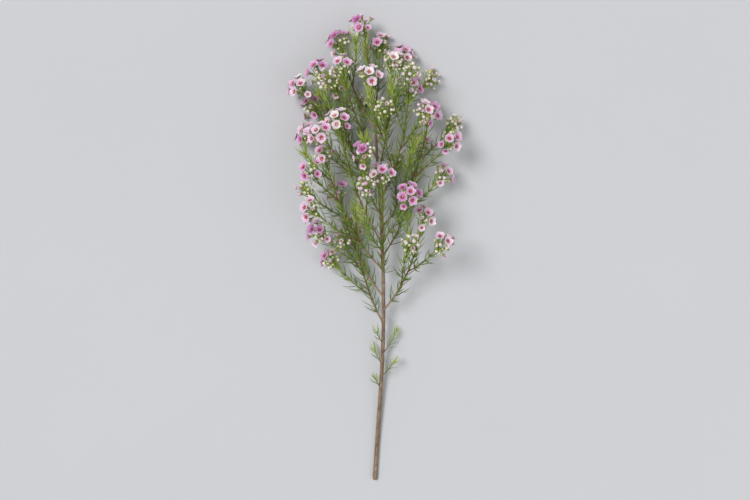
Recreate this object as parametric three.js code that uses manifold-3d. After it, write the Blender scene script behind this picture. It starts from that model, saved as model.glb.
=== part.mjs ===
// A cut stem of waxflower (Chamelaucium uncinatum) lying on its side, in millimetres.
//
// The stem runs along +Y, with +Z up from the surface that it lies on. The origin is in the middle of the flat that
// its foot rests on. The woody main stem rises from there, because the side sprays under it hold it up. Each spray
// is one body: a thin axis with twigs, needle leaves in crossed pairs, flower stalks that widen into green cups,
// and round buds. The open flowers of a cluster lap each other and are one body too, seated on the cups of their
// spray. Everything is grown by rule from the values below, with seeded draws.
import * as THREE from "three";
import { mergeVertices } from "three/addons/utils/BufferGeometryUtils.js";
import Module from "manifold-3d";

// ---- Driving dimensions ----

// The main stem, whose axis carries on through the last spray
const STEM_REACH = 560; // length of the main axis along Y
const CUT_END = -0.02; // share of the axis at the cut end, behind the origin
const STEM_RADIUS = 2.9; // at the origin
const STEM_TOP_RADIUS = 1.5; // at the last fork
const STEM_LIFT = 27; // how far the sprays hold the upper stem off the surface
const LIFT_START = 0.03; // shares of the axis where it leaves the surface
const LIFT_END = 0.6; // and where it reaches its full height
const STEM_SWAY = 7; // sideways bend, a stretch of a wave
const SWAY_START = -0.5; // radians of that wave at the origin
const SWAY_TURN = 5.2; // and from there to the tip
const STEM_SIDES = 8;
const STEM_STEPS = 15;

// The sprays
const SPRAYS = 17;
const FIRST_FORK = 0.36; // shares of the main axis
const LAST_FORK = 0.86;
const LOW_SPRAY = 150; // lengths of the lowest, the middle and the last spray
const MIDDLE_SPRAY = 172;
const LAST_SPRAY = 88;
const LENGTH_PLAY = [0.88, 1.07]; // shares of that length
const OPEN_ANGLE = 40; // degrees from the stem where a spray leaves it
const OPEN_PLAY = [0.88, 1.12];
const CLOSE_ANGLE = 10; // degrees from the stem where a spray ends
const LEADER_OPEN = 4; // the same for the last spray, which carries the stem on
const LEADER_CLOSE = 8;
const SPRAY_BEND = 0.46; // share of a spray's length where it turns
const SPRAY_DROOP = 0.05; // how far its tip hangs, as a share of its length
const LOW_CLIMB = -62; // degrees above level of the lowest and steepest sprays
const HIGH_CLIMB = 84;
const FIRST_CLIMB = 0.1; // share of that range where the first spray starts
const CLIMB_PLAY = 12; // how far one may climb more or less than its turn
const MORE_PLAY = 0.2; // and how much further at each new try
const FLATTEN = 0.56; // the lying stem's sprays sag to this share of their height
const SPRAY_RADIUS = 1.25;
const SPRAY_TIP_RADIUS = 0.6;
const SPRAY_SIDES = 4;
const SPRAY_STEPS = 5;

// The twigs on a spray
const TWIG_SPACING = 38; // one twig for each such length of the spray
const FIRST_TWIG = 0.24; // shares of the spray's length
const LAST_TWIG = 0.9;
const TWIG_PLAY = 0.03;
const TWIG_ANGLE = 38; // degrees from the spray where a twig leaves it
const TWIG_CLOSING = 0.45; // share of that angle where it ends
const TWIG_TURNS = [-12, 62]; // degrees above level
const TWIG_LENGTH = [24, 34];
const TWIG_GAIN = 0.48; // what a twig gains for each length of spray beyond it
const TWIG_KINDS = ["blooms", "buds", "blooms", "leaves"]; // what successive twigs end in
const TRIES = 30; // turns tried before a twig that has no room is left out
const TWIG_RADIUS = 0.7;
const TWIG_TIP_RADIUS = 0.5;
const TWIG_STEPS = 2;
const LOWEST_BEND = 9; // lowest heights of a spray's bend
const LOWEST_TIP = 7; // and of a twig's bend and of any end
const LOW_OUT = -0.2; // a spray that leaves the stem lower than this sags on to the surface

// The clusters
const DOME_RADIUS = 13; // from the twig's end to the top flower
const OUTER_DOME = [0.8, 1.05]; // shares of it to the buds round the top flower
const LOWER_DOME = [0.75, 0.95]; // and to the small buds below
const FIRST_LEAN = 0.6; // radians from the top flower's axis to the next ones'
const BUD_LEAN = 44; // degrees from the cluster's axis to the buds round the top
const LOW_LEAN = [78, 96]; // and to the small buds
const FIRST_STALK = 4.5; // from the twig's end down to the first stalk below the top one
const STALK_SPACING = 1.6;
const LOW_STALK = 8; // and down to the first small bud's stalk
const LOW_SPACING = 2;
const LAP = 0.85; // where a petal is lapped by the next flower's, as a share of the radius
const LAP_RISE = 1.75; // and how high above the petals' base
const RIM = 0.93; // radius at the middle of a petal's rim, as a share of the flower's
const BLOOM_RADIUS = 6.8;
const TOP_SIZE = [0.98, 1.08]; // shares of the radius
const RING_SIZE = [0.95, 1.05];
const BLOOM_THICKNESS = 0.7;
const PETAL_RISE = 1.9; // how far the petals' rims stand above their base
const CUP_RADIUS = 1.9;
const CUP_LENGTH = 4.6;
const TWIG_MARGIN = 1.2; // room between a flower and a twig's axis
const PETAL_MARGIN = 0.4; // and between a flower and any leaf, bud or petal of another cluster
const STALK_RADIUS = 0.36;
const STALK_SIDES = 3;
const BUD_RADIUS = 2.5;
const BUD_SIZE = [0.7, 1.15]; // shares of the radius
const SMALL_BUD_SIZE = [0.5, 0.8];
const BUD_SIDES = 4;
const SEAT_GAP = 0.3; // between a flower and its cup, and between a spray and the stem
const PRESS = 0.2; // how deep what rests on the surface is pressed flat
const NOTCH = 0.68; // radius between two petals, as a share of the flower's
const UNDERSIDE = 0.82; // radius and rise of the petals' underside, as a share of the upper side's
const SHOULDER_TURN = 0.32; // half of a petal's rim, in radians
const PETALS = 5;
const RING_ORDER = [0, 2, 4, 1, 3]; // places round the top flower, in the order that they open
const OPEN_FLOWERS = [5, 2, 4, 3, 6, 2, 3]; // open flowers in successive clusters

// The needle leaves
const NEEDLE_LENGTH = 21;
const NEEDLE_PLAY = [0.72, 1.15]; // shares of that length
const NEEDLE_RADIUS = 0.66;
const NEEDLE_ROOT = 0.32;
const NEEDLE_SIDES = 3;
const NEEDLE_SPACING = 8.5;
const LEAFY_SPACING = 6; // on a twig that ends in leaves
const LEAN_AT_ROOT = 52; // degrees from the twig
const LEAN_AT_TIP = 22;
const LEAN_PLAY = [0.8, 1.2];
const TURN_PLAY = 14; // degrees that a needle stands off its place round the twig
const STEEPEST_FALL = -0.9;

// Those that are built, of the needles and buds that grow
const NEEDLE_SHARE = 11; // one in this many
const BUD_SHARE = 7;

// Where the growth of one twig keeps clear of another
const FORK_ROOM = 12; // nearer than this to its own root, a twig meets no other axis
const AXIS_ROOM = 4; // from axis to axis
const AXIS_STEP = 4;
const CLUSTER_ROOMS = {
  blooms: { ahead: 5, radius: 16 },
  buds: { ahead: 4, radius: 12 },
  leaves: { ahead: -2, radius: 6 },
};

const SEED = 46;

// ---- Small helpers ----

const TURN = 2 * Math.PI;
const RAD = Math.PI / 180;
const GOLDEN = 0.618034;
const UP = new THREE.Vector3(0, 0, 1);
const mix = (a, b, share) => a + (b - a) * share;
const vector = (x, y, z) => new THREE.Vector3(x, y, z);
const along = (point, direction, length) => point.clone().addScaledVector(direction, length);

// A repeatable stream of numbers from 0 to 1, and a number drawn from it between two limits.
function dice(seed) {
  let state = Math.imul(seed, 0x9e3779b1) >>> 0;
  return () => {
    state = (state + 0x6d2b79f5) >>> 0;
    let mixed = Math.imul(state ^ (state >>> 15), state | 1);
    mixed ^= mixed + Math.imul(mixed ^ (mixed >>> 7), mixed | 61);
    return ((mixed ^ (mixed >>> 14)) >>> 0) / 4294967296;
  };
}
const draw = (roll, [low, high]) => mix(low, high, roll());

// The direction square to an axis, turned round it from its level side.
function around(axis, turn) {
  const reference = Math.abs(axis.z) > 0.9 ? vector(0, 1, 0) : UP;
  const side = axis.clone().cross(reference).normalize();
  const lift = side.clone().cross(axis);
  return side.multiplyScalar(Math.cos(turn)).addScaledVector(lift, Math.sin(turn));
}

// A direction leaning from an axis by an angle, towards the given turn round it.
function leaning(axis, angle, turn) {
  return along(axis.clone().multiplyScalar(Math.cos(angle)), around(axis, turn), Math.sin(angle));
}

// A bent twig: its place and direction at a share of its length. It is built in a few straight steps, and what
// grows on it is rooted in those.
class Bow {
  constructor(root, bend, tip, steps) {
    this.points = [root, bend, tip];
    this.length = root.distanceTo(bend) + bend.distanceTo(tip);
    this.steps = steps;
  }
  at(s) {
    const [root, bend, tip] = this.points;
    return root.clone().multiplyScalar((1 - s) ** 2).addScaledVector(bend, 2 * s * (1 - s)).addScaledVector(tip, s * s);
  }
  slope(s) {
    const [root, bend, tip] = this.points;
    const first = bend.clone().sub(root).multiplyScalar(1 - s);
    return first.addScaledVector(tip.clone().sub(bend), s).normalize();
  }
  footing(s) {
    const step = Math.min(Math.floor(s * this.steps), this.steps - 1);
    return this.at(step / this.steps).lerp(this.at((step + 1) / this.steps), s * this.steps - step);
  }
}

// The main axis, on the surface at its foot and held up by the sprays further on.
const stem = {
  length: STEM_REACH,
  at: (t) =>
    vector(
      STEM_SWAY * (Math.sin(SWAY_TURN * t + SWAY_START) - Math.sin(SWAY_START)),
      STEM_REACH * t,
      STEM_RADIUS - PRESS + STEM_LIFT * THREE.MathUtils.smoothstep(t, LIFT_START, LIFT_END),
    ),
  slope: (t) => stem.at(t + 0.001).sub(stem.at(t - 0.001)).normalize(),
};

// ---- Growth ----

// A spray's axis: it leaves the stem at a fork, climbs or lies to one side, and turns to follow the stem.
function sprayAxis(k, roll, play) {
  const share = k / (SPRAYS - 1);
  const isLeader = k === SPRAYS - 1;
  const fork = mix(FIRST_FORK, LAST_FORK, share);
  const root = stem.at(fork);
  const forward = stem.slope(fork);
  const climb = (mix(LOW_CLIMB, HIGH_CLIMB, (k * GOLDEN + FIRST_CLIMB) % 1) + draw(roll, [-play, play])) * RAD;
  const out = vector((k % 2 ? 1 : -1) * Math.cos(climb), 0, FLATTEN * Math.sin(climb));
  const reach = share < 0.5 ? mix(LOW_SPRAY, MIDDLE_SPRAY, 2 * share) : mix(MIDDLE_SPRAY, LAST_SPRAY, 2 * share - 1);
  const length = reach * draw(roll, LENGTH_PLAY);
  const open = (isLeader ? LEADER_OPEN : OPEN_ANGLE * draw(roll, OPEN_PLAY)) * RAD;
  const close = (isLeader ? LEADER_CLOSE : CLOSE_ANGLE) * RAD;
  const leave = forward.clone().multiplyScalar(Math.cos(open)).addScaledVector(out, Math.sin(open));
  const follow = forward.clone().multiplyScalar(Math.cos(close)).addScaledVector(out, Math.sin(close));
  const bend = along(root, leave, SPRAY_BEND * length);
  const tip = along(bend, follow, (1 - SPRAY_BEND) * length);
  bend.z = Math.max(bend.z, LOWEST_BEND);
  tip.z = Math.max(tip.z - SPRAY_DROOP * length, LOWEST_TIP);
  return { k, axis: new Bow(root, bend, tip, SPRAY_STEPS), out };
}

// A twig proposed on a spray's axis, leaning out to alternate sides.
function twigOn(axis, share, side, roll) {
  const root = axis.footing(share);
  const forward = axis.slope(share);
  const turn = (side > 0 ? 0 : Math.PI) + side * draw(roll, TWIG_TURNS) * RAD;
  const length = (1 - share) * axis.length * TWIG_GAIN + draw(roll, TWIG_LENGTH);
  const leave = leaning(forward, TWIG_ANGLE * RAD, turn);
  const follow = leaning(forward, TWIG_CLOSING * TWIG_ANGLE * RAD, turn);
  const bend = along(root, leave, length / 2);
  const tip = along(bend, follow, length / 2);
  bend.z = Math.max(bend.z, LOWEST_TIP);
  tip.z = Math.max(tip.z, LOWEST_TIP);
  return new Bow(root, bend, tip, TWIG_STEPS);
}

// How high a flower or bud clears the surface.
function clearanceOf({ base, place, radius, isOpen }) {
  const upward = place.clone().sub(base).normalize().z;
  const depth = isOpen ? radius * Math.sqrt(1 - upward * upward) - PETAL_RISE * upward : radius;
  return place.z - depth;
}

// A flower or bud with its axis, raised where it would sink into the surface.
function settle(member) {
  const { base, place } = member;
  place.z -= Math.min(clearanceOf(member) + PRESS, 0);
  return { ...member, axis: place.clone().sub(base).normalize() };
}

// A flower beside the top one, at the given turn round it. Its inner petal laps the top flower's outer petal.
function flowerBeside(top, base, turn, radius) {
  const out = around(top.axis, turn);
  const lapped = along(top.place, out, LAP * top.radius).addScaledVector(top.axis, LAP_RISE);
  let axis = leaning(top.axis, FIRST_LEAN, turn);
  let place = lapped;
  for (let pass = 0; pass < 4; pass++) {
    const outward = along(out, axis, -out.dot(axis)).normalize();
    place = along(lapped, outward, RIM * radius).addScaledVector(axis, -LAP_RISE);
    axis = place.clone().sub(base).normalize();
  }
  return settle({ base, place, radius, isOpen: true });
}

// The flowers and buds of a cluster: a flower or bud at the top, five round it, and small buds below those.
function cluster(twig, out, openFlowers, seed) {
  const roll = dice(seed);
  const tip = twig.at(1);
  const facing = twig.slope(1).multiplyScalar(0.5).addScaledVector(out, 0.3).addScaledVector(UP, 0.55).normalize();
  const start = roll() * TURN;
  const budAt = (spread, turn, reach, base, radius) =>
    settle({ base, place: along(tip, leaning(facing, spread, turn), reach), radius, isOpen: false });
  const hasFlowers = openFlowers > 0;
  const size = hasFlowers ? BLOOM_RADIUS : BUD_RADIUS;
  const top = settle({
    base: twig.footing(1 - 0.5 / twig.length),
    place: along(tip, facing, DOME_RADIUS),
    radius: size * draw(roll, TOP_SIZE),
    isOpen: hasFlowers,
  });
  const members = [top];
  for (let i = 0; i < RING_ORDER.length; i++) {
    const turn = start + RING_ORDER[i] * (TURN / 5) + draw(roll, [-4, 4]) * RAD;
    const base = twig.footing(1 - (FIRST_STALK + STALK_SPACING * i) / twig.length);
    if (i + 1 < openFlowers) {
      members.push(flowerBeside(top, base, turn, BLOOM_RADIUS * draw(roll, RING_SIZE)));
    } else {
      const reach = DOME_RADIUS * draw(roll, OUTER_DOME);
      members.push(budAt(BUD_LEAN * RAD, turn, reach, base, BUD_RADIUS * draw(roll, BUD_SIZE)));
    }
  }
  const small = 2 + Math.floor(roll() * 3);
  for (let i = 0; i < small; i++) {
    const turn = start + (i + 0.5) * (TURN / 5) + draw(roll, [-10, 10]) * RAD;
    const base = twig.footing(1 - (LOW_STALK + LOW_SPACING * i) / twig.length);
    const reach = DOME_RADIUS * draw(roll, LOWER_DOME);
    const lean = draw(roll, LOW_LEAN) * RAD;
    members.push(budAt(lean, turn, reach, base, BUD_RADIUS * draw(roll, SMALL_BUD_SIZE)));
  }
  return members;
}

// The ball that a cluster, or a leafy tip, needs for itself.
function roomOf(twig, kind) {
  const { ahead, radius } = CLUSTER_ROOMS[kind];
  return { centre: along(twig.at(1), twig.slope(1), ahead), radius };
}

const pointsOn = (curve, from, to, step) => {
  const count = Math.ceil((curve.length * (to - from)) / step);
  return Array.from({ length: count + 1 }, (_, i) => curve.at(mix(from, to, i / count)));
};

// True if a twig with its cluster keeps clear of the clusters and axes that have grown before.
function isClear(twig, kind, rooms, axes) {
  const room = roomOf(twig, kind);
  const near = axes.filter((point) => point.distanceTo(twig.at(0)) > FORK_ROOM);
  return (
    rooms.every((other) => other.centre.distanceTo(room.centre) > other.radius + room.radius) &&
    near.every((point) => point.distanceTo(room.centre) > room.radius) &&
    pointsOn(twig, 0, 0.9, AXIS_STEP).every(
      (point) =>
        rooms.every((other) => other.centre.distanceTo(point) > other.radius) &&
        near.every((other) => other.distanceTo(point) > AXIS_ROOM),
    )
  );
}

// Twigs on one spray, each tried at a few turns until it is clear.
function growTwigs(spray, k, rooms, axes) {
  const count = Math.round(spray.axis.length / TWIG_SPACING);
  for (let j = 0; j < count; j++) {
    const kind = TWIG_KINDS[(j + k) % TWIG_KINDS.length];
    for (let attempt = 0; attempt < TRIES; attempt++) {
      const share = mix(FIRST_TWIG, LAST_TWIG, (j + 0.5) / count) + draw(spray.roll, [-TWIG_PLAY, TWIG_PLAY]);
      const bow = twigOn(spray.axis, share, (j + attempt) % 2 ? 1 : -1, spray.roll);
      if (isClear(bow, kind, rooms, axes)) {
        rooms.push(roomOf(bow, kind));
        axes.push(...pointsOn(bow, 0.1, 0.9, AXIS_STEP));
        spray.twigs.push({ bow, kind });
        break;
      }
    }
  }
}

// Needle leaves in crossed pairs along a curve, leaning forward more towards its tip.
function needlesAlong(curve, from, to, spacing, seed) {
  const roll = dice(seed);
  const pairs = Math.floor((curve.length * (to - from)) / spacing);
  const needles = [];
  for (let i = 0; i < pairs; i++) {
    const share = mix(from, to, (i + 0.5) / pairs);
    const forward = curve.slope(share);
    for (const half of [0, 1]) {
      const turn = (i + 0.5) * (TURN / 4) + half * (TURN / 2) + draw(roll, [-TURN_PLAY, TURN_PLAY]) * RAD;
      const lean = mix(LEAN_AT_ROOT, LEAN_AT_TIP, share) * draw(roll, LEAN_PLAY) * RAD;
      const length = NEEDLE_LENGTH * draw(roll, NEEDLE_PLAY);
      const root = curve.footing(share);
      const direction = leaning(forward, lean, turn);
      const lowest = NEEDLE_RADIUS - root.z;
      if (direction.z * length < lowest) {
        direction.z = Math.max(lowest / length, STEEPEST_FALL);
        direction.normalize();
      }
      needles.push({ root, direction, length });
    }
  }
  return needles;
}

// True if a point lies in an open flower, or within a margin of it.
function isInFlower(point, flower, margin) {
  const from = point.clone().sub(flower.place);
  const height = from.dot(flower.axis);
  const outward = Math.sqrt(Math.max(from.lengthSq() - height * height, 0));
  return outward < flower.radius + margin && height > -margin && height < PETAL_RISE + BLOOM_THICKNESS + margin;
}

function rimPoints(flower) {
  const raised = along(flower.place, flower.axis, PETAL_RISE);
  return Array.from({ length: 10 }, (_, i) => along(raised, around(flower.axis, (i * TURN) / 10), flower.radius));
}

// The clusters without the flowers and buds that would touch a twig, another cluster's flower or a petal.
function thinned(clusters, twigPoints) {
  const flowers = [];
  const kept = clusters.map((members) => {
    const open = members.filter(
      (member) =>
        member.isOpen &&
        !twigPoints.some((point) => isInFlower(point, member, TWIG_MARGIN)) &&
        !flowers.some(
          (other) =>
            other.place.distanceTo(member.place) < 3 * BLOOM_RADIUS &&
            (rimPoints(member).some((point) => isInFlower(point, other, PETAL_MARGIN)) ||
              rimPoints(other).some((point) => isInFlower(point, member, PETAL_MARGIN))),
        ),
    );
    const whole = open[0] === members[0] ? open : [];
    flowers.push(...whole);
    return [...whole, ...members.filter((member) => !member.isOpen)];
  });
  return kept.map((members) =>
    members.filter(
      (member) =>
        member.isOpen || !flowers.some((flower) => isInFlower(member.place, flower, member.radius + PETAL_MARGIN)),
    ),
  );
}

// True if a needle comes too near an open flower.
function isThroughFlower(needle, flowers) {
  const middle = along(needle.root, needle.direction, needle.length / 2);
  const near = flowers.filter((flower) => flower.place.distanceTo(middle) < needle.length / 2 + 2 * BLOOM_RADIUS);
  const steps = Array.from({ length: 16 }, (_, i) => along(needle.root, needle.direction, (needle.length * i) / 15));
  return near.some((flower) => steps.some((point) => isInFlower(point, flower, NEEDLE_RADIUS + PETAL_MARGIN)));
}

// The cluster at the end of a spray's twig j. The first twig is the spray's own axis.
function clusterOn(spray, j, { bow, kind }) {
  const openFlowers = kind === "blooms" ? OPEN_FLOWERS[(3 * spray.k + j) % OPEN_FLOWERS.length] : 0;
  return kind === "leaves" ? [] : cluster(bow, spray.out, openFlowers, SEED * 1000 + 20 * spray.k + j);
}

// A low spray sags until its own cluster rests on the surface.
function sag(spray) {
  for (let pass = 0; pass < 3; pass++) {
    const members = clusterOn(spray, 0, { bow: spray.axis, kind: "blooms" });
    spray.axis.points[2].z -= Math.min(...members.map(clearanceOf)) + PRESS;
  }
}

// The sprays of the whole stem, each tried at a few climbs until it is clear of those before it.
function grow() {
  const rooms = [];
  const axes = pointsOn(stem, 0, 1, AXIS_STEP);
  const grown = [];
  for (let k = 0; k < SPRAYS; k++) {
    const roll = dice(SEED * 100 + k);
    let spray = sprayAxis(k, roll, CLIMB_PLAY);
    for (let attempt = 1; attempt < TRIES && !isClear(spray.axis, "blooms", rooms, axes); attempt++) {
      spray = sprayAxis(k, roll, CLIMB_PLAY * (1 + MORE_PLAY * attempt));
    }
    if (spray.out.z < LOW_OUT) {
      sag(spray);
    }
    rooms.push(roomOf(spray.axis, "blooms"));
    axes.push(...pointsOn(spray.axis, 0.1, 0.9, AXIS_STEP));
    grown.push({ ...spray, roll, twigs: [{ bow: spray.axis, kind: "blooms" }] });
  }
  grown.forEach((spray, k) => growTwigs(spray, k, rooms, axes));
  const twigs = grown.flatMap((spray) => spray.twigs.map((twig, j) => ({ ...twig, spray, j })));
  const proposed = twigs.map((twig) => clusterOn(twig.spray, twig.j, twig));
  const twigPoints = twigs.flatMap(({ bow }) => pointsOn(bow, 0, 1, 2));
  const clusters = thinned(proposed, [...pointsOn(stem, 0, 1, 2), ...twigPoints]);
  const flowers = clusters.flat().filter((member) => member.isOpen);
  for (const spray of grown) {
    spray.clusters = clusters.filter((_, i) => twigs[i].spray === spray);
    spray.needles = twigs
      .filter((twig) => twig.spray === spray)
      .flatMap(({ bow, kind, j }) => {
        const isLeafy = kind === "leaves";
        const spacing = isLeafy ? LEAFY_SPACING : NEEDLE_SPACING;
        return needlesAlong(bow, 0.1, isLeafy ? 1 : 0.97, spacing, SEED * 7000 + 20 * spray.k + j);
      })
      .filter((needle) => !isThroughFlower(needle, flowers));
  }
  return grown;
}

// ---- Solids ----

const wasm = await Module();
wasm.setup();

// A geometry whose faces share their corners, without the faces that this closes up.
function joined(geometry) {
  geometry.deleteAttribute("normal");
  geometry.deleteAttribute("uv");
  const merged = mergeVertices(geometry);
  const corners = Array.from(merged.index.array);
  const kept = [];
  for (let i = 0; i < corners.length; i += 3) {
    const face = corners.slice(i, i + 3);
    if (new Set(face).size === 3) {
      kept.push(...face);
    }
  }
  return merged.setIndex(kept);
}

// A joined geometry as a solid.
function solidOf(geometry) {
  return new wasm.Manifold(
    new wasm.Mesh({
      numProp: 3,
      vertProperties: geometry.attributes.position.array,
      triVerts: new Uint32Array(geometry.index.array),
    }),
  );
}

// A solid back as a three.js mesh.
function meshOf(name, solid, material) {
  const { numProp, numVert, vertProperties, triVerts } = solid.getMesh();
  const positions = new Float32Array(numVert * 3);
  for (let i = 0; i < numVert; i++) {
    positions.set(vertProperties.subarray(i * numProp, i * numProp + 3), 3 * i);
  }
  const geometry = new THREE.BufferGeometry();
  geometry.setAttribute("position", new THREE.BufferAttribute(positions, 3));
  geometry.setIndex(new THREE.BufferAttribute(triVerts, 1));
  geometry.computeVertexNormals();
  const mesh = new THREE.Mesh(geometry, material);
  mesh.name = name;
  return mesh;
}

// The largest body of a solid, above the surface that the stem lies on.
function restedBody(solid) {
  const bodies = solid.trimByPlane([0, 0, 1], 0).decompose();
  return bodies.reduce((best, body) => (body.volume() > best.volume() ? body : best));
}

// A tapering length of a curve, with flat ends. Its sides are turned from the level by the given angle.
function rodSolid(curve, from, to, radiusAt, sides, steps, turn = 0) {
  const rod = joined(new THREE.CylinderGeometry(1, 1, 1, sides, steps, false, turn));
  const points = rod.attributes.position;
  const overall = curve.at(to).sub(curve.at(from)).normalize();
  const reference = Math.abs(overall.z) > 0.8 ? vector(0, 1, 0) : UP;
  for (let i = 0; i < points.count; i++) {
    const share = mix(from, to, points.getY(i) + 0.5);
    const slope = curve.slope(share);
    const side = slope.clone().cross(reference).normalize();
    const lift = side.clone().cross(slope);
    const radius = radiusAt(share);
    const point = along(curve.at(share), side, radius * points.getX(i));
    point.addScaledVector(lift, radius * points.getZ(i));
    points.setXYZ(i, point.x, point.y, point.z);
  }
  return solidOf(rod);
}

// A geometry that stands along +Y, set at a point and turned to an axis.
function stand(geometry, point, axis, spin = 0) {
  const turned = new THREE.Quaternion().setFromUnitVectors(vector(0, 1, 0), axis);
  const pose = new THREE.Matrix4().compose(point, turned, vector(1, 1, 1));
  return geometry.rotateY(spin).applyMatrix4(pose);
}

function latheSolid(profile, sides, point, axis) {
  const outline = profile.map(([radius, height]) => new THREE.Vector2(radius, height));
  return solidOf(stand(joined(new THREE.LatheGeometry(outline, sides)), point, axis));
}

// A flower stalk that widens into the green cup under an open flower.
function stalkSolid(member) {
  const height = member.base.distanceTo(member.place) - SEAT_GAP;
  const profile = [
    [0, 0],
    [STALK_RADIUS, 0],
    [STALK_RADIUS, height - CUP_LENGTH],
    [CUP_RADIUS, height],
    [0, height],
  ];
  return latheSolid(profile, STALK_SIDES, member.base, member.axis);
}

// A round bud on its stalk.
function budSolid(member) {
  const height = member.base.distanceTo(member.place);
  const radius = member.radius;
  const profile = [
    [0, 0],
    [STALK_RADIUS, 0],
    [STALK_RADIUS, height - 2 * radius],
    [radius, height],
    [0, height + 0.9 * radius],
  ];
  return latheSolid(profile, BUD_SIDES, member.base, member.axis);
}

// A needle leaf: narrow at its root, widest early on, and pointed.
function needleSolid(needle) {
  const profile = [
    [0, 0],
    [NEEDLE_ROOT, 0],
    [NEEDLE_RADIUS, 0.3 * needle.length],
    [0, needle.length],
  ];
  return latheSolid(profile, NEEDLE_SIDES, needle.root, needle.direction);
}

// Five round petals in one shallow bowl, over a five-sided underside. Each petal has two shoulders on the rim,
// and a notch before the next, which is lower as it is nearer the middle. The middle of one petal points at the
// given place.
function bloomSolid(member, towards) {
  const bowl = new THREE.CylinderGeometry(1, 1, 1, 3 * PETALS);
  const points = bowl.attributes.position;
  for (let i = 0; i < points.count; i++) {
    const isRim = Math.hypot(points.getX(i), points.getZ(i)) > 0.5;
    const isTop = points.getY(i) > 0;
    const place = Math.atan2(points.getX(i), points.getZ(i)) / TURN;
    const corner = (Math.round(place * 3 * PETALS) + 3 * PETALS) % (3 * PETALS);
    const petalTurn = Math.floor(corner / 3) * (TURN / PETALS);
    const turn = petalTurn + (isTop ? [-TURN / (2 * PETALS), -SHOULDER_TURN, SHOULDER_TURN][corner % 3] : 0);
    const share = isTop ? [NOTCH, 1, 1][corner % 3] : UNDERSIDE;
    const radius = isRim ? share * member.radius : 0;
    const rise = isRim ? share * PETAL_RISE : 0;
    const height = isTop ? rise + BLOOM_THICKNESS : rise;
    points.setXYZ(i, radius * Math.sin(turn), height, radius * Math.cos(turn));
  }
  const upright = new THREE.Quaternion().setFromUnitVectors(vector(0, 1, 0), member.axis).invert();
  const aim = towards.clone().sub(member.place).applyQuaternion(upright);
  return solidOf(stand(joined(bowl), member.place, member.axis, Math.atan2(aim.x, aim.z)));
}

// ---- The part ----

const bark = new THREE.MeshStandardMaterial({ color: "#6d5a45", roughness: 0.85, metalness: 0 });
const green = new THREE.MeshStandardMaterial({ color: "#5f8f3c", roughness: 0.55, metalness: 0 });
const petal = new THREE.MeshStandardMaterial({ color: "#d79bc6", roughness: 0.45, metalness: 0 });

// Radii along the axes. The main stem's is the distance to its flat sides, one of which faces down.
const cornerShare = 1 / Math.cos(Math.PI / STEM_SIDES);
const woodRadius = (t) => mix(STEM_RADIUS, STEM_TOP_RADIUS, t / LAST_FORK) * cornerShare;
const sprayRadius = (s) => mix(SPRAY_RADIUS, SPRAY_TIP_RADIUS, s);
const twigRadius = (s) => mix(TWIG_RADIUS, TWIG_TIP_RADIUS, s);

function boxOf(solid) {
  const { min, max } = solid.boundingBox();
  return new THREE.Box3(vector(...min), vector(...max));
}

// A body of the plant, from solids that overlap and are joined when it is complete.
class Body {
  constructor(name, material) {
    this.name = name;
    this.material = material;
    this.pieces = [];
  }
  add(solid) {
    this.pieces.push({ solid, box: boxOf(solid) });
  }
  isCrossedBy(solid) {
    const box = boxOf(solid);
    return this.pieces.some((piece) => box.intersectsBox(piece.box) && !solid.intersect(piece.solid).isEmpty());
  }
  mesh() {
    const whole = wasm.Manifold.union(this.pieces.map(({ solid }) => solid));
    return meshOf(this.name, restedBody(whole), this.material);
  }
}

const numbered = (word, count) => `${word}_${String(count).padStart(2, "0")}`;
const everyNth = (list, n) => list.filter((_, i) => i % n === 0);
const isOpen = (member) => member.isOpen;
const isBud = (member) => !member.isOpen;

const mainStem = new Body("main_stem", bark);
const faceDown = Math.PI / STEM_SIDES;
mainStem.add(rodSolid(stem, CUT_END, LAST_FORK, woodRadius, STEM_SIDES, STEM_STEPS, faceDown));

// What the sprays' roots are cut back to: the stem with a thin gap round it
const sheathRadius = (t) => woodRadius(t) + SEAT_GAP;
const sheath = rodSolid(stem, CUT_END, LAST_FORK + 0.001, sheathRadius, STEM_SIDES, STEM_STEPS, faceDown);

// Axes, twigs and flower stalks
const growth = grow();
const sprays = growth.map((spray, k) => {
  const body = new Body(numbered("spray", k + 1), green);
  spray.twigs.forEach(({ bow }, j) => {
    const [radiusAt, steps] = j ? [twigRadius, TWIG_STEPS] : [sprayRadius, SPRAY_STEPS];
    body.add(rodSolid(bow, 0, 1, radiusAt, SPRAY_SIDES, steps).subtract(sheath));
  });
  spray.clusters.flat().filter(isOpen).forEach((member) => body.add(stalkSolid(member)));
  return body;
});

// The open flowers of each cluster
const heads = growth
  .flatMap((spray) => spray.clusters)
  .map((members) => members.filter(isOpen))
  .filter((open) => open.length > 0)
  .map((open, i) => {
    const body = new Body(numbered("blooms", i + 1), petal);
    const [top, ...ring] = open;
    body.add(bloomSolid(top, open[open.length - 1].place));
    ring.forEach((member) => body.add(bloomSolid(member, top.place)));
    return body;
  });

// Buds and then needles, where they cross nothing of another body
function fill(solidsOf) {
  growth.forEach((spray, k) => {
    const others = [mainStem, ...sprays, ...heads].filter((body) => body !== sprays[k]);
    for (const solid of solidsOf(spray)) {
      if (!others.some((body) => body.isCrossedBy(solid))) {
        sprays[k].add(solid);
      }
    }
  });
}
fill((spray) => everyNth(spray.clusters.flat().filter(isBud), BUD_SHARE).map(budSolid));
fill((spray) => everyNth(spray.needles, NEEDLE_SHARE).map(needleSolid));

const branch = new THREE.Group();
branch.add(...[mainStem, ...sprays, ...heads].map((body) => body.mesh()));

export default branch;
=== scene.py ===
import math

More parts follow.
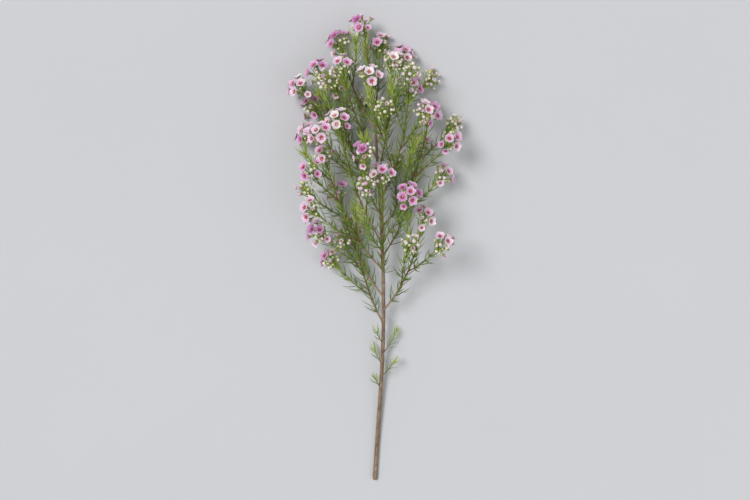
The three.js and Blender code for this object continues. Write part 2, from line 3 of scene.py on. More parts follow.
import bpy
import numpy as np
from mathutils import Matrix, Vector


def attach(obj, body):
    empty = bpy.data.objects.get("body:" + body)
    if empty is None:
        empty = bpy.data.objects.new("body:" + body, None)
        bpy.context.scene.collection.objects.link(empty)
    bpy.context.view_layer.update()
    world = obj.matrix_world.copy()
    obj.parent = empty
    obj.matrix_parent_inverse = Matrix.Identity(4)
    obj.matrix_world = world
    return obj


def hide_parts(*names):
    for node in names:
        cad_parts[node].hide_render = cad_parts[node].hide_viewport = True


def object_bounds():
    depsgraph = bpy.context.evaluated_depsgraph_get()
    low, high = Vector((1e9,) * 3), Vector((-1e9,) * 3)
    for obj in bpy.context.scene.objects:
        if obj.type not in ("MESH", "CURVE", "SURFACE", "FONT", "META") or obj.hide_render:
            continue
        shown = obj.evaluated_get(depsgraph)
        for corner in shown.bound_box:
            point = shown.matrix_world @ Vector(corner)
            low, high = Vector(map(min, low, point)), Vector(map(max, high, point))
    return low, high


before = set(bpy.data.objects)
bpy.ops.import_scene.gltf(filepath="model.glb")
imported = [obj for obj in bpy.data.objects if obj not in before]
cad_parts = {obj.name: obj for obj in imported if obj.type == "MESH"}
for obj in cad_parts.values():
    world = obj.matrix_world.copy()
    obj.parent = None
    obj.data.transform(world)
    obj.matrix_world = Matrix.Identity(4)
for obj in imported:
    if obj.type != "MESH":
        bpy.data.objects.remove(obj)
solids_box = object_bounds()

# ---- The main stem ----
# The woody shoot that everything grows from, cut square at its foot and bare up to the first forks. Its bark
# is grey-brown and furrowed, with a pair of scars wherever leaves have dropped. It lies on its foot, and the
# sprays hold the rest of it up. Lengths here and below are in millimetres, and are laid in place in metres.

MM = 0.001
TURN = 2 * math.pi
UP = np.array([0.0, 0.0, 1.0])
STEM_REACH = 560  # length of the main axis along Y
CUT_END = -0.02  # share of the axis at the cut end
LAST_FORK = 0.86  # and where the last spray carries it on
STEM_RADIUS = 2.9
STEM_TOP_RADIUS = 1.5
STEM_LIFT = 27  # how far the sprays hold it off the surface
LIFT_START = 0.03
LIFT_END = 0.6
STEM_SWAY = 7
SWAY_START = -0.5
SWAY_TURN = 5.2
PRESS = 0.2  # depth of the flats that the stem rests on
STEM_SIDES = 32
STEM_RINGS = 210
STEM_END = (0.5, 1.002)  # share of the radius and of the length, hidden in the last spray
CUT_RINGS = (0.3, 0.6, 0.9, 0.985)  # rings of the cut face, as shares of the radius
CUT_EDGE = 0.0008  # share of the length where the bark begins
CUT_LEVEL = 1e-5
BARK_FROM = 0.95  # share of the radius
FURROW = 0.045  # depth, as a share of the radius
RIDGES = ((3, 0.02, 41), (5, -0.03, 29), (8, 0.05, 17), (11, -0.02, 23))  # how many, their twist and wander
SCAR_SPACING = 13
SCAR_PLAY = (-0.2, 0.2)  # of the spacing
SCAR_TURN = (-0.3, 0.3)
SCAR_SIZE = 1.6
SCAR_HEIGHT = 0.14
SEED = 46


def mix(low, high, share):
    return low + (high - low) * share


def unit(direction):
    return direction / np.linalg.norm(direction)


def smooth(low, high, value):
    """From 0 at the low value to 1 at the high one, level at both."""
    share = np.clip((value - low) / (high - low), 0, 1)
    return share * share * (3 - 2 * share)


def dice(seed):
    """A repeatable stream of numbers from 0 to 1, the same as the solids were grown with."""
    whole = 0xFFFFFFFF
    state = (seed * 0x9E3779B1) & whole

    def roll():
        nonlocal state
        state = (state + 0x6D2B79F5) & whole
        mixed = ((state ^ (state >> 15)) * (state | 1)) & whole
        mixed ^= (mixed + (((mixed ^ (mixed >> 7)) * (mixed | 61)) & whole)) & whole
        return ((mixed ^ (mixed >> 14)) & whole) / 4294967296

    return roll


def draw(roll, limits):
    return mix(limits[0], limits[1], roll())


def swing(roll, limits):
    """An angle drawn from limits in degrees."""
    return math.radians(draw(roll, limits))


class Stem:
    """The main axis, on the surface at its foot and held up further on."""

    length = STEM_REACH

    def at(self, t):
        sway = STEM_SWAY * (math.sin(SWAY_TURN * t + SWAY_START) - math.sin(SWAY_START))
        lift = STEM_LIFT * smooth(LIFT_START, LIFT_END, t)
        return np.array([sway, STEM_REACH * t, STEM_RADIUS - PRESS + lift])

    def slope(self, t):
        return unit(self.at(t + 0.001) - self.at(t - 0.001))


class Shape:
    """A modelled shape, in millimetres, that can be laid many times. The model itself is taken away."""

    def __init__(self, model):
        mesh = model.data
        self.points = np.array([vertex.co for vertex in mesh.vertices])
        self.corners = np.array([corner for face in mesh.polygons for corner in face.vertices])
        self.sizes = np.array([len(face.vertices) for face in mesh.polygons])
        self.finishes = np.array([face.material_index for face in mesh.polygons])
        bpy.data.objects.remove(model)


class Grown:
    """Shapes laid together in one piece. A point keeps its place on its own shape, and its copy's marks."""

    def __init__(self):
        self.laid = []
        self.count = 0

    def lay(self, shape, points, finish=0, **marks):
        marks["own"] = marks.get("own", shape.points)
        self.laid.append((shape, points, shape.corners + self.count, shape.finishes + finish, marks))
        self.count += len(points)

    def piece(self, name, finishes, slot, nodes=()):
        mesh = bpy.data.meshes.new(name)
        shapes, places, corners, faces, marks = zip(*self.laid)
        points = np.concatenate(places) * MM
        points[:, 2] = np.maximum(points[:, 2], 0)
        corners = np.concatenate(corners)
        sizes = np.concatenate([shape.sizes for shape in shapes])
        mesh.vertices.add(len(points))
        mesh.vertices.foreach_set("co", points.ravel())
        mesh.loops.add(len(corners))
        mesh.loops.foreach_set("vertex_index", corners)
        mesh.polygons.add(len(sizes))
        mesh.polygons.foreach_set("loop_start", np.cumsum(sizes) - sizes)
        mesh.polygons.foreach_set("material_index", np.concatenate(faces))
        mesh.update(calc_edges=True)
        mesh.shade_smooth()
        for mark in marks[0]:
            kind, word, width = ("FLOAT_VECTOR", "vector", (3,)) if mark == "own" else ("FLOAT", "value", ())
            values = [np.broadcast_to(each[mark], (len(laid), *width)) for each, laid in zip(marks, places)]
            layer = mesh.attributes.new(mark, kind, "POINT")
            layer.data.foreach_set(word, np.concatenate(values).astype(np.float32).ravel())
        for finish in finishes:
            mesh.materials.append(finish)
        grown = bpy.data.objects.new(name, mesh)
        bpy.context.scene.collection.objects.link(grown)
        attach(grown, "root")
        if nodes:
            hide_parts(*nodes)


def drawn_up(sides, outline):
    """Models a round shape along Z, drawn up from a disc ring by ring through (radius, height) pairs."""
    bpy.ops.object.select_all(action="DESELECT")
    radius, height = outline[0]
    place = (0, 0, height)
    bpy.ops.mesh.primitive_circle_add(vertices=sides, radius=radius, fill_type="NGON", location=place)
    bpy.ops.object.transform_apply()
    bpy.ops.object.mode_set(mode="EDIT")
    for wider, higher in outline[1:]:
        bpy.ops.mesh.extrude_region_move(TRANSFORM_OT_translate={"value": (0, 0, higher - height)})
        share = wider / radius
        bpy.ops.transform.resize(value=(share, share, 1), center_override=(0, 0, higher))
        radius, height = wider, higher
    bpy.ops.mesh.select_all(action="SELECT")
    bpy.ops.mesh.normals_make_consistent(inside=False)
    bpy.ops.object.mode_set(mode="OBJECT")
    return bpy.context.object


def along_curve(shape, curve, start, end, radius_at):
    """Where a shape of unit radius and height goes, laid along a curve between two shares of its length."""
    heights, which = np.unique(shape.points[:, 2].round(6), return_inverse=True)
    overall = unit(curve.at(end) - curve.at(start))
    reference = np.array([0.0, 1.0, 0.0]) if abs(overall[2]) > 0.8 else UP
    frames = []
    for height in heights:
        share = mix(start, end, height)
        slope = curve.slope(share)
        side = unit(np.cross(slope, reference))
        radius = radius_at(share)
        frames.append([curve.at(share), radius * side, radius * np.cross(side, slope)])
    centre, side, lift = np.array(frames)[which].transpose(1, 0, 2)
    return centre + side * shape.points[:, :1] + lift * shape.points[:, 1:2]


class Socket:
    """An output of a shader node. Sums and products of such values add Math nodes."""

    def __init__(self, finish, output):
        self.finish = finish
        self.output = output

    def maths(self, operation, *values):
        return self.finish.node("ShaderNodeMath", {"operation": operation}, dict(enumerate(values)))

    def __add__(self, other):
        return self.maths("ADD", self, other)

    def __sub__(self, other):
        return self.maths("SUBTRACT", self, other)

    def __rsub__(self, other):
        return self.maths("SUBTRACT", other, self)

    def __mul__(self, other):
        return self.maths("MULTIPLY", self, other)

    def __truediv__(self, other):
        return self.maths("DIVIDE", self, other)

    def __pow__(self, other):
        return self.maths("POWER", self, other)

    def arctan2(self, other):
        return self.maths("ARCTAN2", self, other)

    def sine(self):
        return self.maths("SINE", self)

    def size(self):
        return self.maths("ABSOLUTE", self)

    __radd__ = __add__
    __rmul__ = __mul__


class Finish:
    """A material in the making, with a method for any node."""

    def __init__(self, name, **constants):
        self.material = bpy.data.materials.new(name)
        self.material.use_nodes = True
        self.tree = self.material.node_tree
        self.shader = self.tree.nodes["Principled BSDF"]
        for socket, value in constants.items():
            self.shader.inputs[socket.replace("_", " ")].default_value = value

    def node(self, kind, settings, inputs, output=0):
        node = self.tree.nodes.new(kind)
        for setting, value in settings.items():
            if setting == "stops":
                ramp = node.color_ramp.elements
                while len(ramp) < len(value):
                    ramp.new(0.5)
                for stop, (place, colour) in zip(ramp, value):
                    stop.position = place
                    stop.color = colour
            else:
                setattr(node, setting, value)
        for socket, value in inputs.items():
            if isinstance(value, Socket):
                self.tree.links.new(value.output, node.inputs[socket])
            else:
                node.inputs[socket].default_value = value
        return Socket(self, node.outputs[output])

    def mark(self, name, output="Fac"):
        return self.node("ShaderNodeAttribute", {"attribute_name": name}, {}, output)

    def own(self, *stretch):
        """The place on the piece's own shape, stretched along its axes."""
        place = self.mark("own", "Vector")
        return self.node("ShaderNodeVectorMath", {"operation": "MULTIPLY"}, {0: place, 1: stretch})

    def part(self, way):
        """The place on the piece's own shape along X, Y or Z."""
        return self.node("ShaderNodeSeparateXYZ", {}, {0: self.mark("own", "Vector")}, way)

    def reach(self, *centre):
        """How far the place is from the shape's Z axis, or from a line beside it."""
        inputs = {0: self.own(1, 1, 0), 1: centre or (0, 0, 0)}
        place = self.node("ShaderNodeVectorMath", {"operation": "SUBTRACT"}, inputs)
        return self.node("ShaderNodeVectorMath", {"operation": "LENGTH"}, {0: place}, "Value")

    def noise(self, place, scale, detail=2.0, roughness=0.5):
        inputs = {"Vector": place, "Scale": scale, "Detail": detail, "Roughness": roughness}
        return self.node("ShaderNodeTexNoise", {}, inputs)

    def step(self, value, low, high):
        settings = {"interpolation_type": "SMOOTHSTEP"}
        return self.node("ShaderNodeMapRange", settings, {0: value, 1: low, 2: high, 3: 0.0, 4: 1.0})

    def ramp(self, value, stops):
        return self.node("ShaderNodeValToRGB", {"stops": stops}, {0: value})

    def blend(self, share, first, second, mode="MIX"):
        settings = {"data_type": "RGBA", "blend_type": mode}
        return self.node("ShaderNodeMix", settings, {0: share, 6: first, 7: second}, 2)

    def feed(self, **sockets):
        for socket, value in sockets.items():
            self.tree.links.new(value.output, self.shader.inputs[socket.replace("_", " ")])

    def relief(self, height, depth):
        """Raises the surface by the height, a share of the depth in millimetres."""
        inputs = {"Height": height, "Distance": depth * MM, "Strength": 1.0}
        self.feed(Normal=self.node("ShaderNodeBump", {}, inputs))


def paint(code):
    """A colour from its six hexadecimal digits, as light."""
    shares = [int(code[i:i + 2], 16) / 255 for i in (0, 2, 4)]
    return (*[s / 12.92 if s <= 0.04045 else ((s + 0.055) / 1.055) ** 2.4 for s in shares], 1.0)


def bark_finish():
    finish = Finish("waxflower_bark", Roughness=0.85)
    furrows = finish.noise(finish.own(1.6, 1.6, 0.16), 1.0, 5.0, 0.65)
    patches = finish.noise(finish.own(0.25, 0.25, 0.03), 1.0, 2.0)
    cracks = 1 - finish.step(finish.noise(finish.own(3.5, 3.5, 0.22), 1.0, 3.0), 0.36, 0.46)
    colour = finish.ramp(
        furrows * 0.75 + patches * 0.25,
        [(0.3, paint("5a4636")), (0.46, paint("8a705a")), (0.56, paint("ab957c")), (0.7, paint("c8b8a2"))],
    )
    colour = finish.blend(cracks * 0.7, colour, paint("3a2a1f"))
    finish.feed(Base_Color=finish.blend(finish.mark("scar") * 0.7, colour, paint("5b4431")))
    finish.relief(furrows - cracks * 0.5, 0.5)
    return finish.material


def cut_wood_finish():
    """The cut end: pale wood in rings round a pith, green under the bark."""
    finish = Finish("waxflower_cut_wood", Roughness=0.7)
    rings = finish.reach() + finish.noise(finish.own(1.0, 1.0, 0.0), 1.2) * 0.12
    colour = finish.ramp(
        rings,
        [(0.06, paint("8a6a48")), (0.16, paint("d9c49a")), (0.5, paint("cdb384")), (0.6, paint("e2d2ab")),
         (0.86, paint("d3bd8c")), (0.93, paint("93a05a")), (1.0, paint("4d3c2c"))],
    )
    finish.feed(Base_Color=colour)
    return finish.material


def stem_radius(t):
    return mix(STEM_RADIUS, STEM_TOP_RADIUS, t / LAST_FORK)


stem = Stem()
cut_face = [(share, 0.0) for share in CUT_RINGS]
bark_rings = [(1.0, mix(CUT_EDGE, 1.0, i / STEM_RINGS)) for i in range(STEM_RINGS + 1)]
stem_model = drawn_up(STEM_SIDES, cut_face + bark_rings + [STEM_END])
for face in stem_model.data.polygons:
    face.material_index = int(face.center.z < CUT_LEVEL)
rod = Shape(stem_model)
places = along_curve(rod, stem, CUT_END, LAST_FORK, stem_radius)
axes = np.array([stem.at(mix(CUT_END, LAST_FORK, min(z, 1.0))) for z in rod.points[:, 2]])
round_turn = np.arctan2(rod.points[:, 1], rod.points[:, 0])
distance = rod.points[:, 2] * STEM_REACH * (LAST_FORK - CUT_END)
furrow = sum(
    np.sin(ridges * round_turn + twist * distance + 2 * np.sin(distance / wander)) / ridges ** 0.5
    for ridges, twist, wander in RIDGES
)
scars = np.zeros(len(distance))
scar_roll = dice(SEED + 1)
for i in range(int(distance.max() / SCAR_SPACING)):
    height = (i + 0.5 + draw(scar_roll, SCAR_PLAY)) * SCAR_SPACING
    for half in (0, 1):
        turn = i * TURN / 4 + half * TURN / 2 + draw(scar_roll, SCAR_TURN)
        round_gap = STEM_RADIUS * np.abs(np.angle(np.exp(1j * (round_turn - turn))))
        scars = np.maximum(scars, np.exp(-((round_gap ** 2 + (distance - height) ** 2) / SCAR_SIZE ** 2)))
is_bark = np.hypot(rod.points[:, 0], rod.points[:, 1]) > BARK_FROM
outward = places - axes
rough = (1 + FURROW * furrow)[:, None] * outward + SCAR_HEIGHT * scars[:, None] * outward / STEM_RADIUS
places = np.where(is_bark[:, None], axes + rough, places)
own_on_stem = rod.points * (STEM_RADIUS, STEM_RADIUS, 0)
own_on_stem[:, 2] = distance
is_cut = rod.points[:, 2] < CUT_LEVEL
own_on_stem[is_cut] = rod.points[is_cut]
main_stem = Grown()
main_stem.lay(rod, places, own=own_on_stem, scar=np.clip(scars, 0, 1))
main_stem.piece("stem_wood", [bark_finish(), cut_wood_finish()], "bark", ["main_stem"])

# ---- The sprays and their twigs ----
# Each spray leaves the stem at a fork, climbs or lies to one side, and turns to follow it, with twigs to
# alternate sides. Bark grows over them from the root: it is woody brown there, reddish further out, and the
# young tips are still green. A fork has a thickened collar.

SPRAYS = 17
FIRST_FORK = 0.36
LOW_SPRAY = 150  # length of the first spray, and of those half way up and last
MIDDLE_SPRAY = 172
LAST_SPRAY = 88
LENGTH_PLAY = (0.88, 1.07)
OPEN_ANGLE = 40  # degrees from the stem
OPEN_PLAY = (0.88, 1.12)
CLOSE_ANGLE = 10
LEADER_OPEN = 4  # of the last spray, which carries the stem on
LEADER_CLOSE = 8
SPRAY_BEND = 0.46  # share of a spray's length where it turns
SPRAY_DROOP = 0.05
LOW_CLIMB = -62  # degrees above level
HIGH_CLIMB = 84
FIRST_CLIMB = 0.1
CLIMB_PLAY = 12
MORE_PLAY = 0.2
GOLDEN = 0.618034
FLATTEN = 0.56  # the lying stem's sprays sag to this share of their height
SPRAY_RADIUS = 1.25
SPRAY_TIP_RADIUS = 0.6
SPRAY_STEPS = 5
TWIG_SPACING = 38
FIRST_TWIG = 0.24
LAST_TWIG = 0.9
TWIG_PLAY = 0.03
TWIG_ANGLE = 38
TWIG_CLOSING = 0.45
TWIG_TURNS = (-12, 62)
TWIG_LENGTH = (24, 34)
TWIG_GAIN = 0.48
TWIG_KINDS = ("blooms", "buds", "blooms", "leaves")
TRIES = 30
SAG_STEPS = 3
TWIG_RADIUS = 0.7
TWIG_TIP_RADIUS = 0.5
TWIG_STEPS = 2
LOWEST_BEND = 9
LOWEST_TIP = 7
LOW_OUT = -0.2
FORK_ROOM = 12
AXIS_ROOM = 4
AXIS_STEP = 4
AXIS_PART = (0.1, 0.9)  # the part of an axis that others keep clear of
FINE_STEP = 2
CLUSTER_ROOMS = {"blooms": (5, 16), "buds": (4, 12), "leaves": (-2, 6)}  # how far past the tip, and radius
DOME_RADIUS = 13
OUTER_DOME = (0.8, 1.05)
LOWER_DOME = (0.75, 0.95)
FACING = (0.5, 0.3, 0.55)  # how much a cluster faces ahead, outwards and up
FIRST_LEAN = 0.6
BUD_LEAN = 44
LOW_LEAN = (78, 96)
RING_PLAY = (-4, 4)
LOW_PLAY = (-10, 10)
FEWEST_LOW = 2
MORE_LOW = 3
TOP_STALK = 0.5  # how far before the twig's end a stalk leaves it
FIRST_STALK = 4.5
STALK_SPACING = 1.6
LOW_STALK = 8
LOW_SPACING = 2
LAP = 0.85  # where a petal is lapped, as a share of the radius
LAP_RISE = 1.75
LAP_STEPS = 4
RIM = 0.93
RIM_POINTS = 10
BLOOM_RADIUS = 6.8
TOP_SIZE = (0.98, 1.08)
RING_SIZE = (0.95, 1.05)
BLOOM_THICKNESS = 0.7
PETAL_RISE = 1.9
TWIG_MARGIN = 1.2
PETAL_MARGIN = 0.4
BUD_RADIUS = 2.5
BUD_SIZE = (0.7, 1.15)
SMALL_BUD_SIZE = (0.5, 0.8)
RING_ORDER = (0, 2, 4, 1, 3)
OPEN_FLOWERS = (5, 2, 4, 3, 6, 2, 3)
NEAR_BLOOM = 3 * BLOOM_RADIUS
NEAR_CLUSTER = 3 * DOME_RADIUS
LATER_FLOWERS = 2  # at most, in each cluster that has flowers
LATER_TRIES = 60
LATER_LIMITS = ((0.85, 1.25), (15, 100), (4, 14), (0.68, 0.88))  # shares of the dome, lean, foot and size
LATER_ROOM = 0.9
CUP_BALLS = ((0.8, 1.9), (2.4, 1.5), (4.0, 0.9))  # a cup as balls: how far below the flower, and their radius
LESSER_TRIES = 30
LESSER_LIMITS = ((0.55, 1.0), (30, 105), (3, 15), (0.5, 0.95))
BUD_GAP = 0.2
TWIG_SIDES = 10
TWIG_RINGS = 22
TWIG_END = (0.5, 1.004)
AXIS_YOUTH = (0.0, 0.85)  # from old bark to green, for a spray's axis and for its twigs
TWIG_YOUTH = (0.35, 1.0)
COLLAR = 0.5  # how much thicker a fork is, as a share of the radius
COLLAR_REACH = 2.2
MOST_SUNK = 7  # how far a spray's axis, or a twig, runs inside the wood that it grows from
TWIG_SUNK = 1.6
KNUCKLE = 0.05
KNUCKLE_PITCH = 0.75  # radians for each millimetre


def around(axis, turn):
    """The direction square to an axis, turned round it from its level side."""
    reference = np.array([0.0, 1.0, 0.0]) if abs(axis[2]) > 0.9 else UP
    side = unit(np.cross(axis, reference))
    return side * math.cos(turn) + np.cross(side, axis) * math.sin(turn)


def leaning(axis, angle, turn):
    """A direction leaning from an axis by an angle, towards the given turn round it."""
    return axis * math.cos(angle) + around(axis, turn) * math.sin(angle)


class Bow:
    """A bent twig. What grows on it is placed from the few straight steps that its solid is built in."""

    def __init__(self, root, bend, tip, steps=1):
        self.root, self.bend, self.tip = root, bend, tip
        self.length = np.linalg.norm(bend - root) + np.linalg.norm(tip - bend)
        self.steps = steps

    def at(self, s):
        return self.root * (1 - s) ** 2 + self.bend * (2 * s * (1 - s)) + self.tip * (s * s)

    def slope(self, s):
        return unit((self.bend - self.root) * (1 - s) + (self.tip - self.bend) * s)

    def footing(self, s):
        step = min(math.floor(s * self.steps), self.steps - 1)
        return mix(self.at(step / self.steps), self.at((step + 1) / self.steps), s * self.steps - step)


class Spray:
    """A spray's axis, with the twigs, clusters and needles that grow on it."""

    def __init__(self, k, roll, play):
        share = k / (SPRAYS - 1)
        is_leader = k == SPRAYS - 1
        fork = mix(FIRST_FORK, LAST_FORK, share)
        root = stem.at(fork)
        forward = stem.slope(fork)
        climb = mix(LOW_CLIMB, HIGH_CLIMB, (k * GOLDEN + FIRST_CLIMB) % 1) + draw(roll, (-play, play))
        climb = math.radians(climb)
        side = 1 if k % 2 else -1
        out = np.array([side * math.cos(climb), 0.0, FLATTEN * math.sin(climb)])
        half = 2 * share
        reach = mix(LOW_SPRAY, MIDDLE_SPRAY, half) if share < 0.5 else mix(MIDDLE_SPRAY, LAST_SPRAY, half - 1)
        length = reach * draw(roll, LENGTH_PLAY)
        opening = math.radians(LEADER_OPEN if is_leader else OPEN_ANGLE * draw(roll, OPEN_PLAY))
        closing = math.radians(LEADER_CLOSE if is_leader else CLOSE_ANGLE)
        leave = forward * math.cos(opening) + out * math.sin(opening)
        follow = forward * math.cos(closing) + out * math.sin(closing)
        bend = root + leave * (SPRAY_BEND * length)
        tip = bend + follow * ((1 - SPRAY_BEND) * length)
        bend[2] = max(bend[2], LOWEST_BEND)
        tip[2] = max(tip[2] - SPRAY_DROOP * length, LOWEST_TIP)
        self.k = k
        self.fork = fork
        self.roll = roll
        self.axis = Bow(root, bend, tip, SPRAY_STEPS)
        self.out = out
        self.twigs = [(self.axis, "blooms")]

    def twig(self, share, side):
        root = self.axis.footing(share)
        forward = self.axis.slope(share)
        turn = (0 if side > 0 else math.pi) + side * swing(self.roll, TWIG_TURNS)
        length = (1 - share) * self.axis.length * TWIG_GAIN + draw(self.roll, TWIG_LENGTH)
        leave = leaning(forward, math.radians(TWIG_ANGLE), turn)
        follow = leaning(forward, math.radians(TWIG_CLOSING * TWIG_ANGLE), turn)
        bend = root + leave * (length / 2)
        tip = bend + follow * (length / 2)
        bend[2] = max(bend[2], LOWEST_TIP)
        tip[2] = max(tip[2], LOWEST_TIP)
        return Bow(root, bend, tip, TWIG_STEPS)

    def grow_twigs(self, rooms, axes):
        """Twigs to alternate sides, each tried at a few turns until it is clear."""
        count = math.floor(self.axis.length / TWIG_SPACING + 0.5)
        for j in range(count):
            kind = TWIG_KINDS[(j + self.k) % len(TWIG_KINDS)]
            for attempt in range(TRIES):
                share = mix(FIRST_TWIG, LAST_TWIG, (j + 0.5) / count)
                share += draw(self.roll, (-TWIG_PLAY, TWIG_PLAY))
                bow = self.twig(share, 1 if (j + attempt) % 2 else -1)
                if is_clear(bow, kind, rooms, axes):
                    rooms.append(room_of(bow, kind))
                    axes.append(points_on(bow, *AXIS_PART, AXIS_STEP))
                    self.twigs.append((bow, kind))
                    break

    def sag(self):
        """A low spray sags until its own cluster rests on the surface."""
        for _ in range(SAG_STEPS):
            members = cluster_on(self, 0)
            self.axis.tip[2] -= min(member.clearance() for member in members) + PRESS

    def facing(self, j):
        """Which way the cluster of twig j faces."""
        ahead, outwards, upwards = FACING
        return unit(self.twigs[j][0].slope(1) * ahead + self.out * outwards + UP * upwards)

    def tried(self, j, seed, tries, limits, size, is_open):
        """More flowers or buds, drawn one by one at places round the cluster of twig j."""
        twig = self.twigs[j][0]
        roll = dice(SEED * seed + 20 * self.k + j)
        dome, lean, foot, play = limits
        for _ in range(tries):
            reach = DOME_RADIUS * draw(roll, dome)
            place = twig.at(1) + leaning(self.facing(j), swing(roll, lean), roll() * TURN) * reach
            yield Member(twig, draw(roll, foot), place, size * draw(roll, play), is_open)

    def members(self, is_open):
        """The flowers, or else the buds, of its clusters."""
        return [member for members in self.clusters for member in members if member.is_open == is_open]

    def dress(self, grown, kind, finish, slot):
        """Makes a piece of what has grown on this spray."""
        number = f"{self.k + 1:02d}"
        grown.piece(f"{kind}_{number}", [finish], slot, [f"spray_{number}"])


class Member:
    """A flower or bud of a cluster, raised where it would sink into the surface."""

    def __init__(self, curve, foot, place, radius, is_open):
        share = 1 - foot / curve.length
        self.curve = curve
        self.share = share
        self.base = curve.footing(share)
        self.radius = radius
        self.is_open = is_open
        self.place = place
        self.place[2] -= min(self.clearance() + PRESS, 0)

    @property
    def axis(self):
        return unit(self.place - self.base)

    def clearance(self):
        upward = self.axis[2]
        sunk = self.radius * math.sqrt(1 - upward * upward) - PETAL_RISE * upward
        return self.place[2] - (sunk if self.is_open else self.radius)

    def holds(self, points, margin):
        """Which of the points lie in this open flower, or within a margin of it."""
        away = points - self.place
        height = away @ self.axis
        outward = np.sqrt(np.maximum((away * away).sum(axis=-1) - height * height, 0))
        low = height > -margin
        return (outward < self.radius + margin) & low & (height < PETAL_RISE + BLOOM_THICKNESS + margin)

    def rim(self):
        raised = self.place + self.axis * PETAL_RISE
        turns = [i * TURN / RIM_POINTS for i in range(RIM_POINTS)]
        return np.array([raised + around(self.axis, turn) * self.radius for turn in turns])

    def is_in_petals(self, flowers):
        """True if this bud touches one of the flowers."""
        return any(flower.holds(self.place, self.radius + PETAL_MARGIN) for flower in flowers)

    def is_free(self, flowers, buds, twig_points):
        """True if this open flower and its cup keep clear of other flowers, buds and twigs."""
        rooms = [LATER_ROOM * (self.radius + other.radius) for other in flowers]
        if any(math.dist(other.place, self.place) < room for other, room in zip(flowers, rooms)):
            return False
        if self.holds(twig_points, TWIG_MARGIN).any() or any(bud.is_in_petals([self]) for bud in buds):
            return False
        for low, wide in CUP_BALLS:
            centre = self.place - self.axis * low
            if any(math.dist(centre, bud.place) < wide + bud.radius for bud in buds):
                return False
        rim = self.rim()
        return not any(other.holds(rim, PETAL_MARGIN).any() for other in flowers)


def near(members, place, reach):
    """Those of the flowers or buds that lie within reach of a place."""
    return [member for member in members if math.dist(member.place, place) < reach]


def flower_beside(top, curve, foot, turn, radius):
    """A flower beside the top one, whose inner petal laps the top flower's outer petal."""
    out = around(top.axis, turn)
    lapped = top.place + out * (LAP * top.radius) + top.axis * LAP_RISE
    axis = leaning(top.axis, FIRST_LEAN, turn)
    base = curve.footing(1 - foot / curve.length)
    for _ in range(LAP_STEPS):
        outward = unit(out - axis * out.dot(axis))
        place = lapped + outward * (RIM * radius) - axis * LAP_RISE
        axis = unit(place - base)
    return Member(curve, foot, place, radius, True)


def cluster_on(spray, j):
    """A flower or bud at the top of twig j, five round it, and small buds below those."""
    twig, kind = spray.twigs[j]
    if kind == "leaves":
        return []
    open_flowers = OPEN_FLOWERS[(3 * spray.k + j) % len(OPEN_FLOWERS)] if kind == "blooms" else 0
    roll = dice(SEED * 1000 + 20 * spray.k + j)
    tip = twig.at(1)
    facing = spray.facing(j)
    start = roll() * TURN
    size = BLOOM_RADIUS if open_flowers else BUD_RADIUS
    top = Member(twig, TOP_STALK, tip + facing * DOME_RADIUS, size * draw(roll, TOP_SIZE), open_flowers > 0)
    members = [top]
    for i, order in enumerate(RING_ORDER):
        turn = start + order * (TURN / 5) + swing(roll, RING_PLAY)
        foot = FIRST_STALK + STALK_SPACING * i
        if i + 1 < open_flowers:
            members.append(flower_beside(top, twig, foot, turn, BLOOM_RADIUS * draw(roll, RING_SIZE)))
        else:
            reach = DOME_RADIUS * draw(roll, OUTER_DOME)
            place = tip + leaning(facing, math.radians(BUD_LEAN), turn) * reach
            members.append(Member(twig, foot, place, BUD_RADIUS * draw(roll, BUD_SIZE), False))
    for i in range(FEWEST_LOW + math.floor(roll() * MORE_LOW)):
        turn = start + (i + 0.5) * (TURN / 5) + swing(roll, LOW_PLAY)
        reach = DOME_RADIUS * draw(roll, LOWER_DOME)
        place = tip + leaning(facing, swing(roll, LOW_LEAN), turn) * reach
        foot = LOW_STALK + LOW_SPACING * i
        members.append(Member(twig, foot, place, BUD_RADIUS * draw(roll, SMALL_BUD_SIZE), False))
    return members


def later_flowers(spray, j, flowers, buds, twig_points):
    """Smaller flowers that have opened later, round the cluster of twig j, where there is room for them."""
    if not any(member.is_open for member in spray.clusters[j]):
        return []
    tip = spray.twigs[j][0].at(1)
    near_twigs = twig_points[np.linalg.norm(twig_points - tip, axis=1) < NEAR_CLUSTER]
    beside = near(flowers, tip, NEAR_CLUSTER)
    near_buds = near(buds, tip, NEAR_CLUSTER)
    found = []
    for flower in spray.tried(j, 61, LATER_TRIES, LATER_LIMITS, BLOOM_RADIUS, True):
        if len(found) < LATER_FLOWERS and flower.is_free(beside + found, near_buds, near_twigs):
            found.append(flower)
    return found


def lesser_buds(spray, j, flowers):
    """More small buds, on side stalks lower down the cluster of twig j, where there is room for them."""
    if spray.twigs[j][1] == "leaves":
        return []
    beside = near(flowers, spray.twigs[j][0].at(1), NEAR_CLUSTER)
    found = [member for member in spray.clusters[j] if not member.is_open]
    first = len(found)
    for bud in spray.tried(j, 53, LESSER_TRIES, LESSER_LIMITS, BUD_RADIUS, False):
        gaps = [math.dist(other.place, bud.place) - other.radius - bud.radius for other in found]
        if not bud.is_in_petals(beside) and min(gaps, default=1) >= BUD_GAP:
            found.append(bud)
    return found[first:]


def room_of(twig, kind):
    """The ball that a cluster, or a leafy tip, needs for itself: its centre and radius."""
    ahead, radius = CLUSTER_ROOMS[kind]
    return twig.at(1) + twig.slope(1) * ahead, radius


def points_on(curve, start, end, step):
    count = math.ceil(curve.length * (end - start) / step)
    return np.array([curve.at(mix(start, end, i / count)) for i in range(count + 1)])


def touches(points, others, room):
    """True if any of the points come within a room's radius of any of the others."""
    return (np.linalg.norm(points[:, None] - others[None], axis=-1) <= room).any()


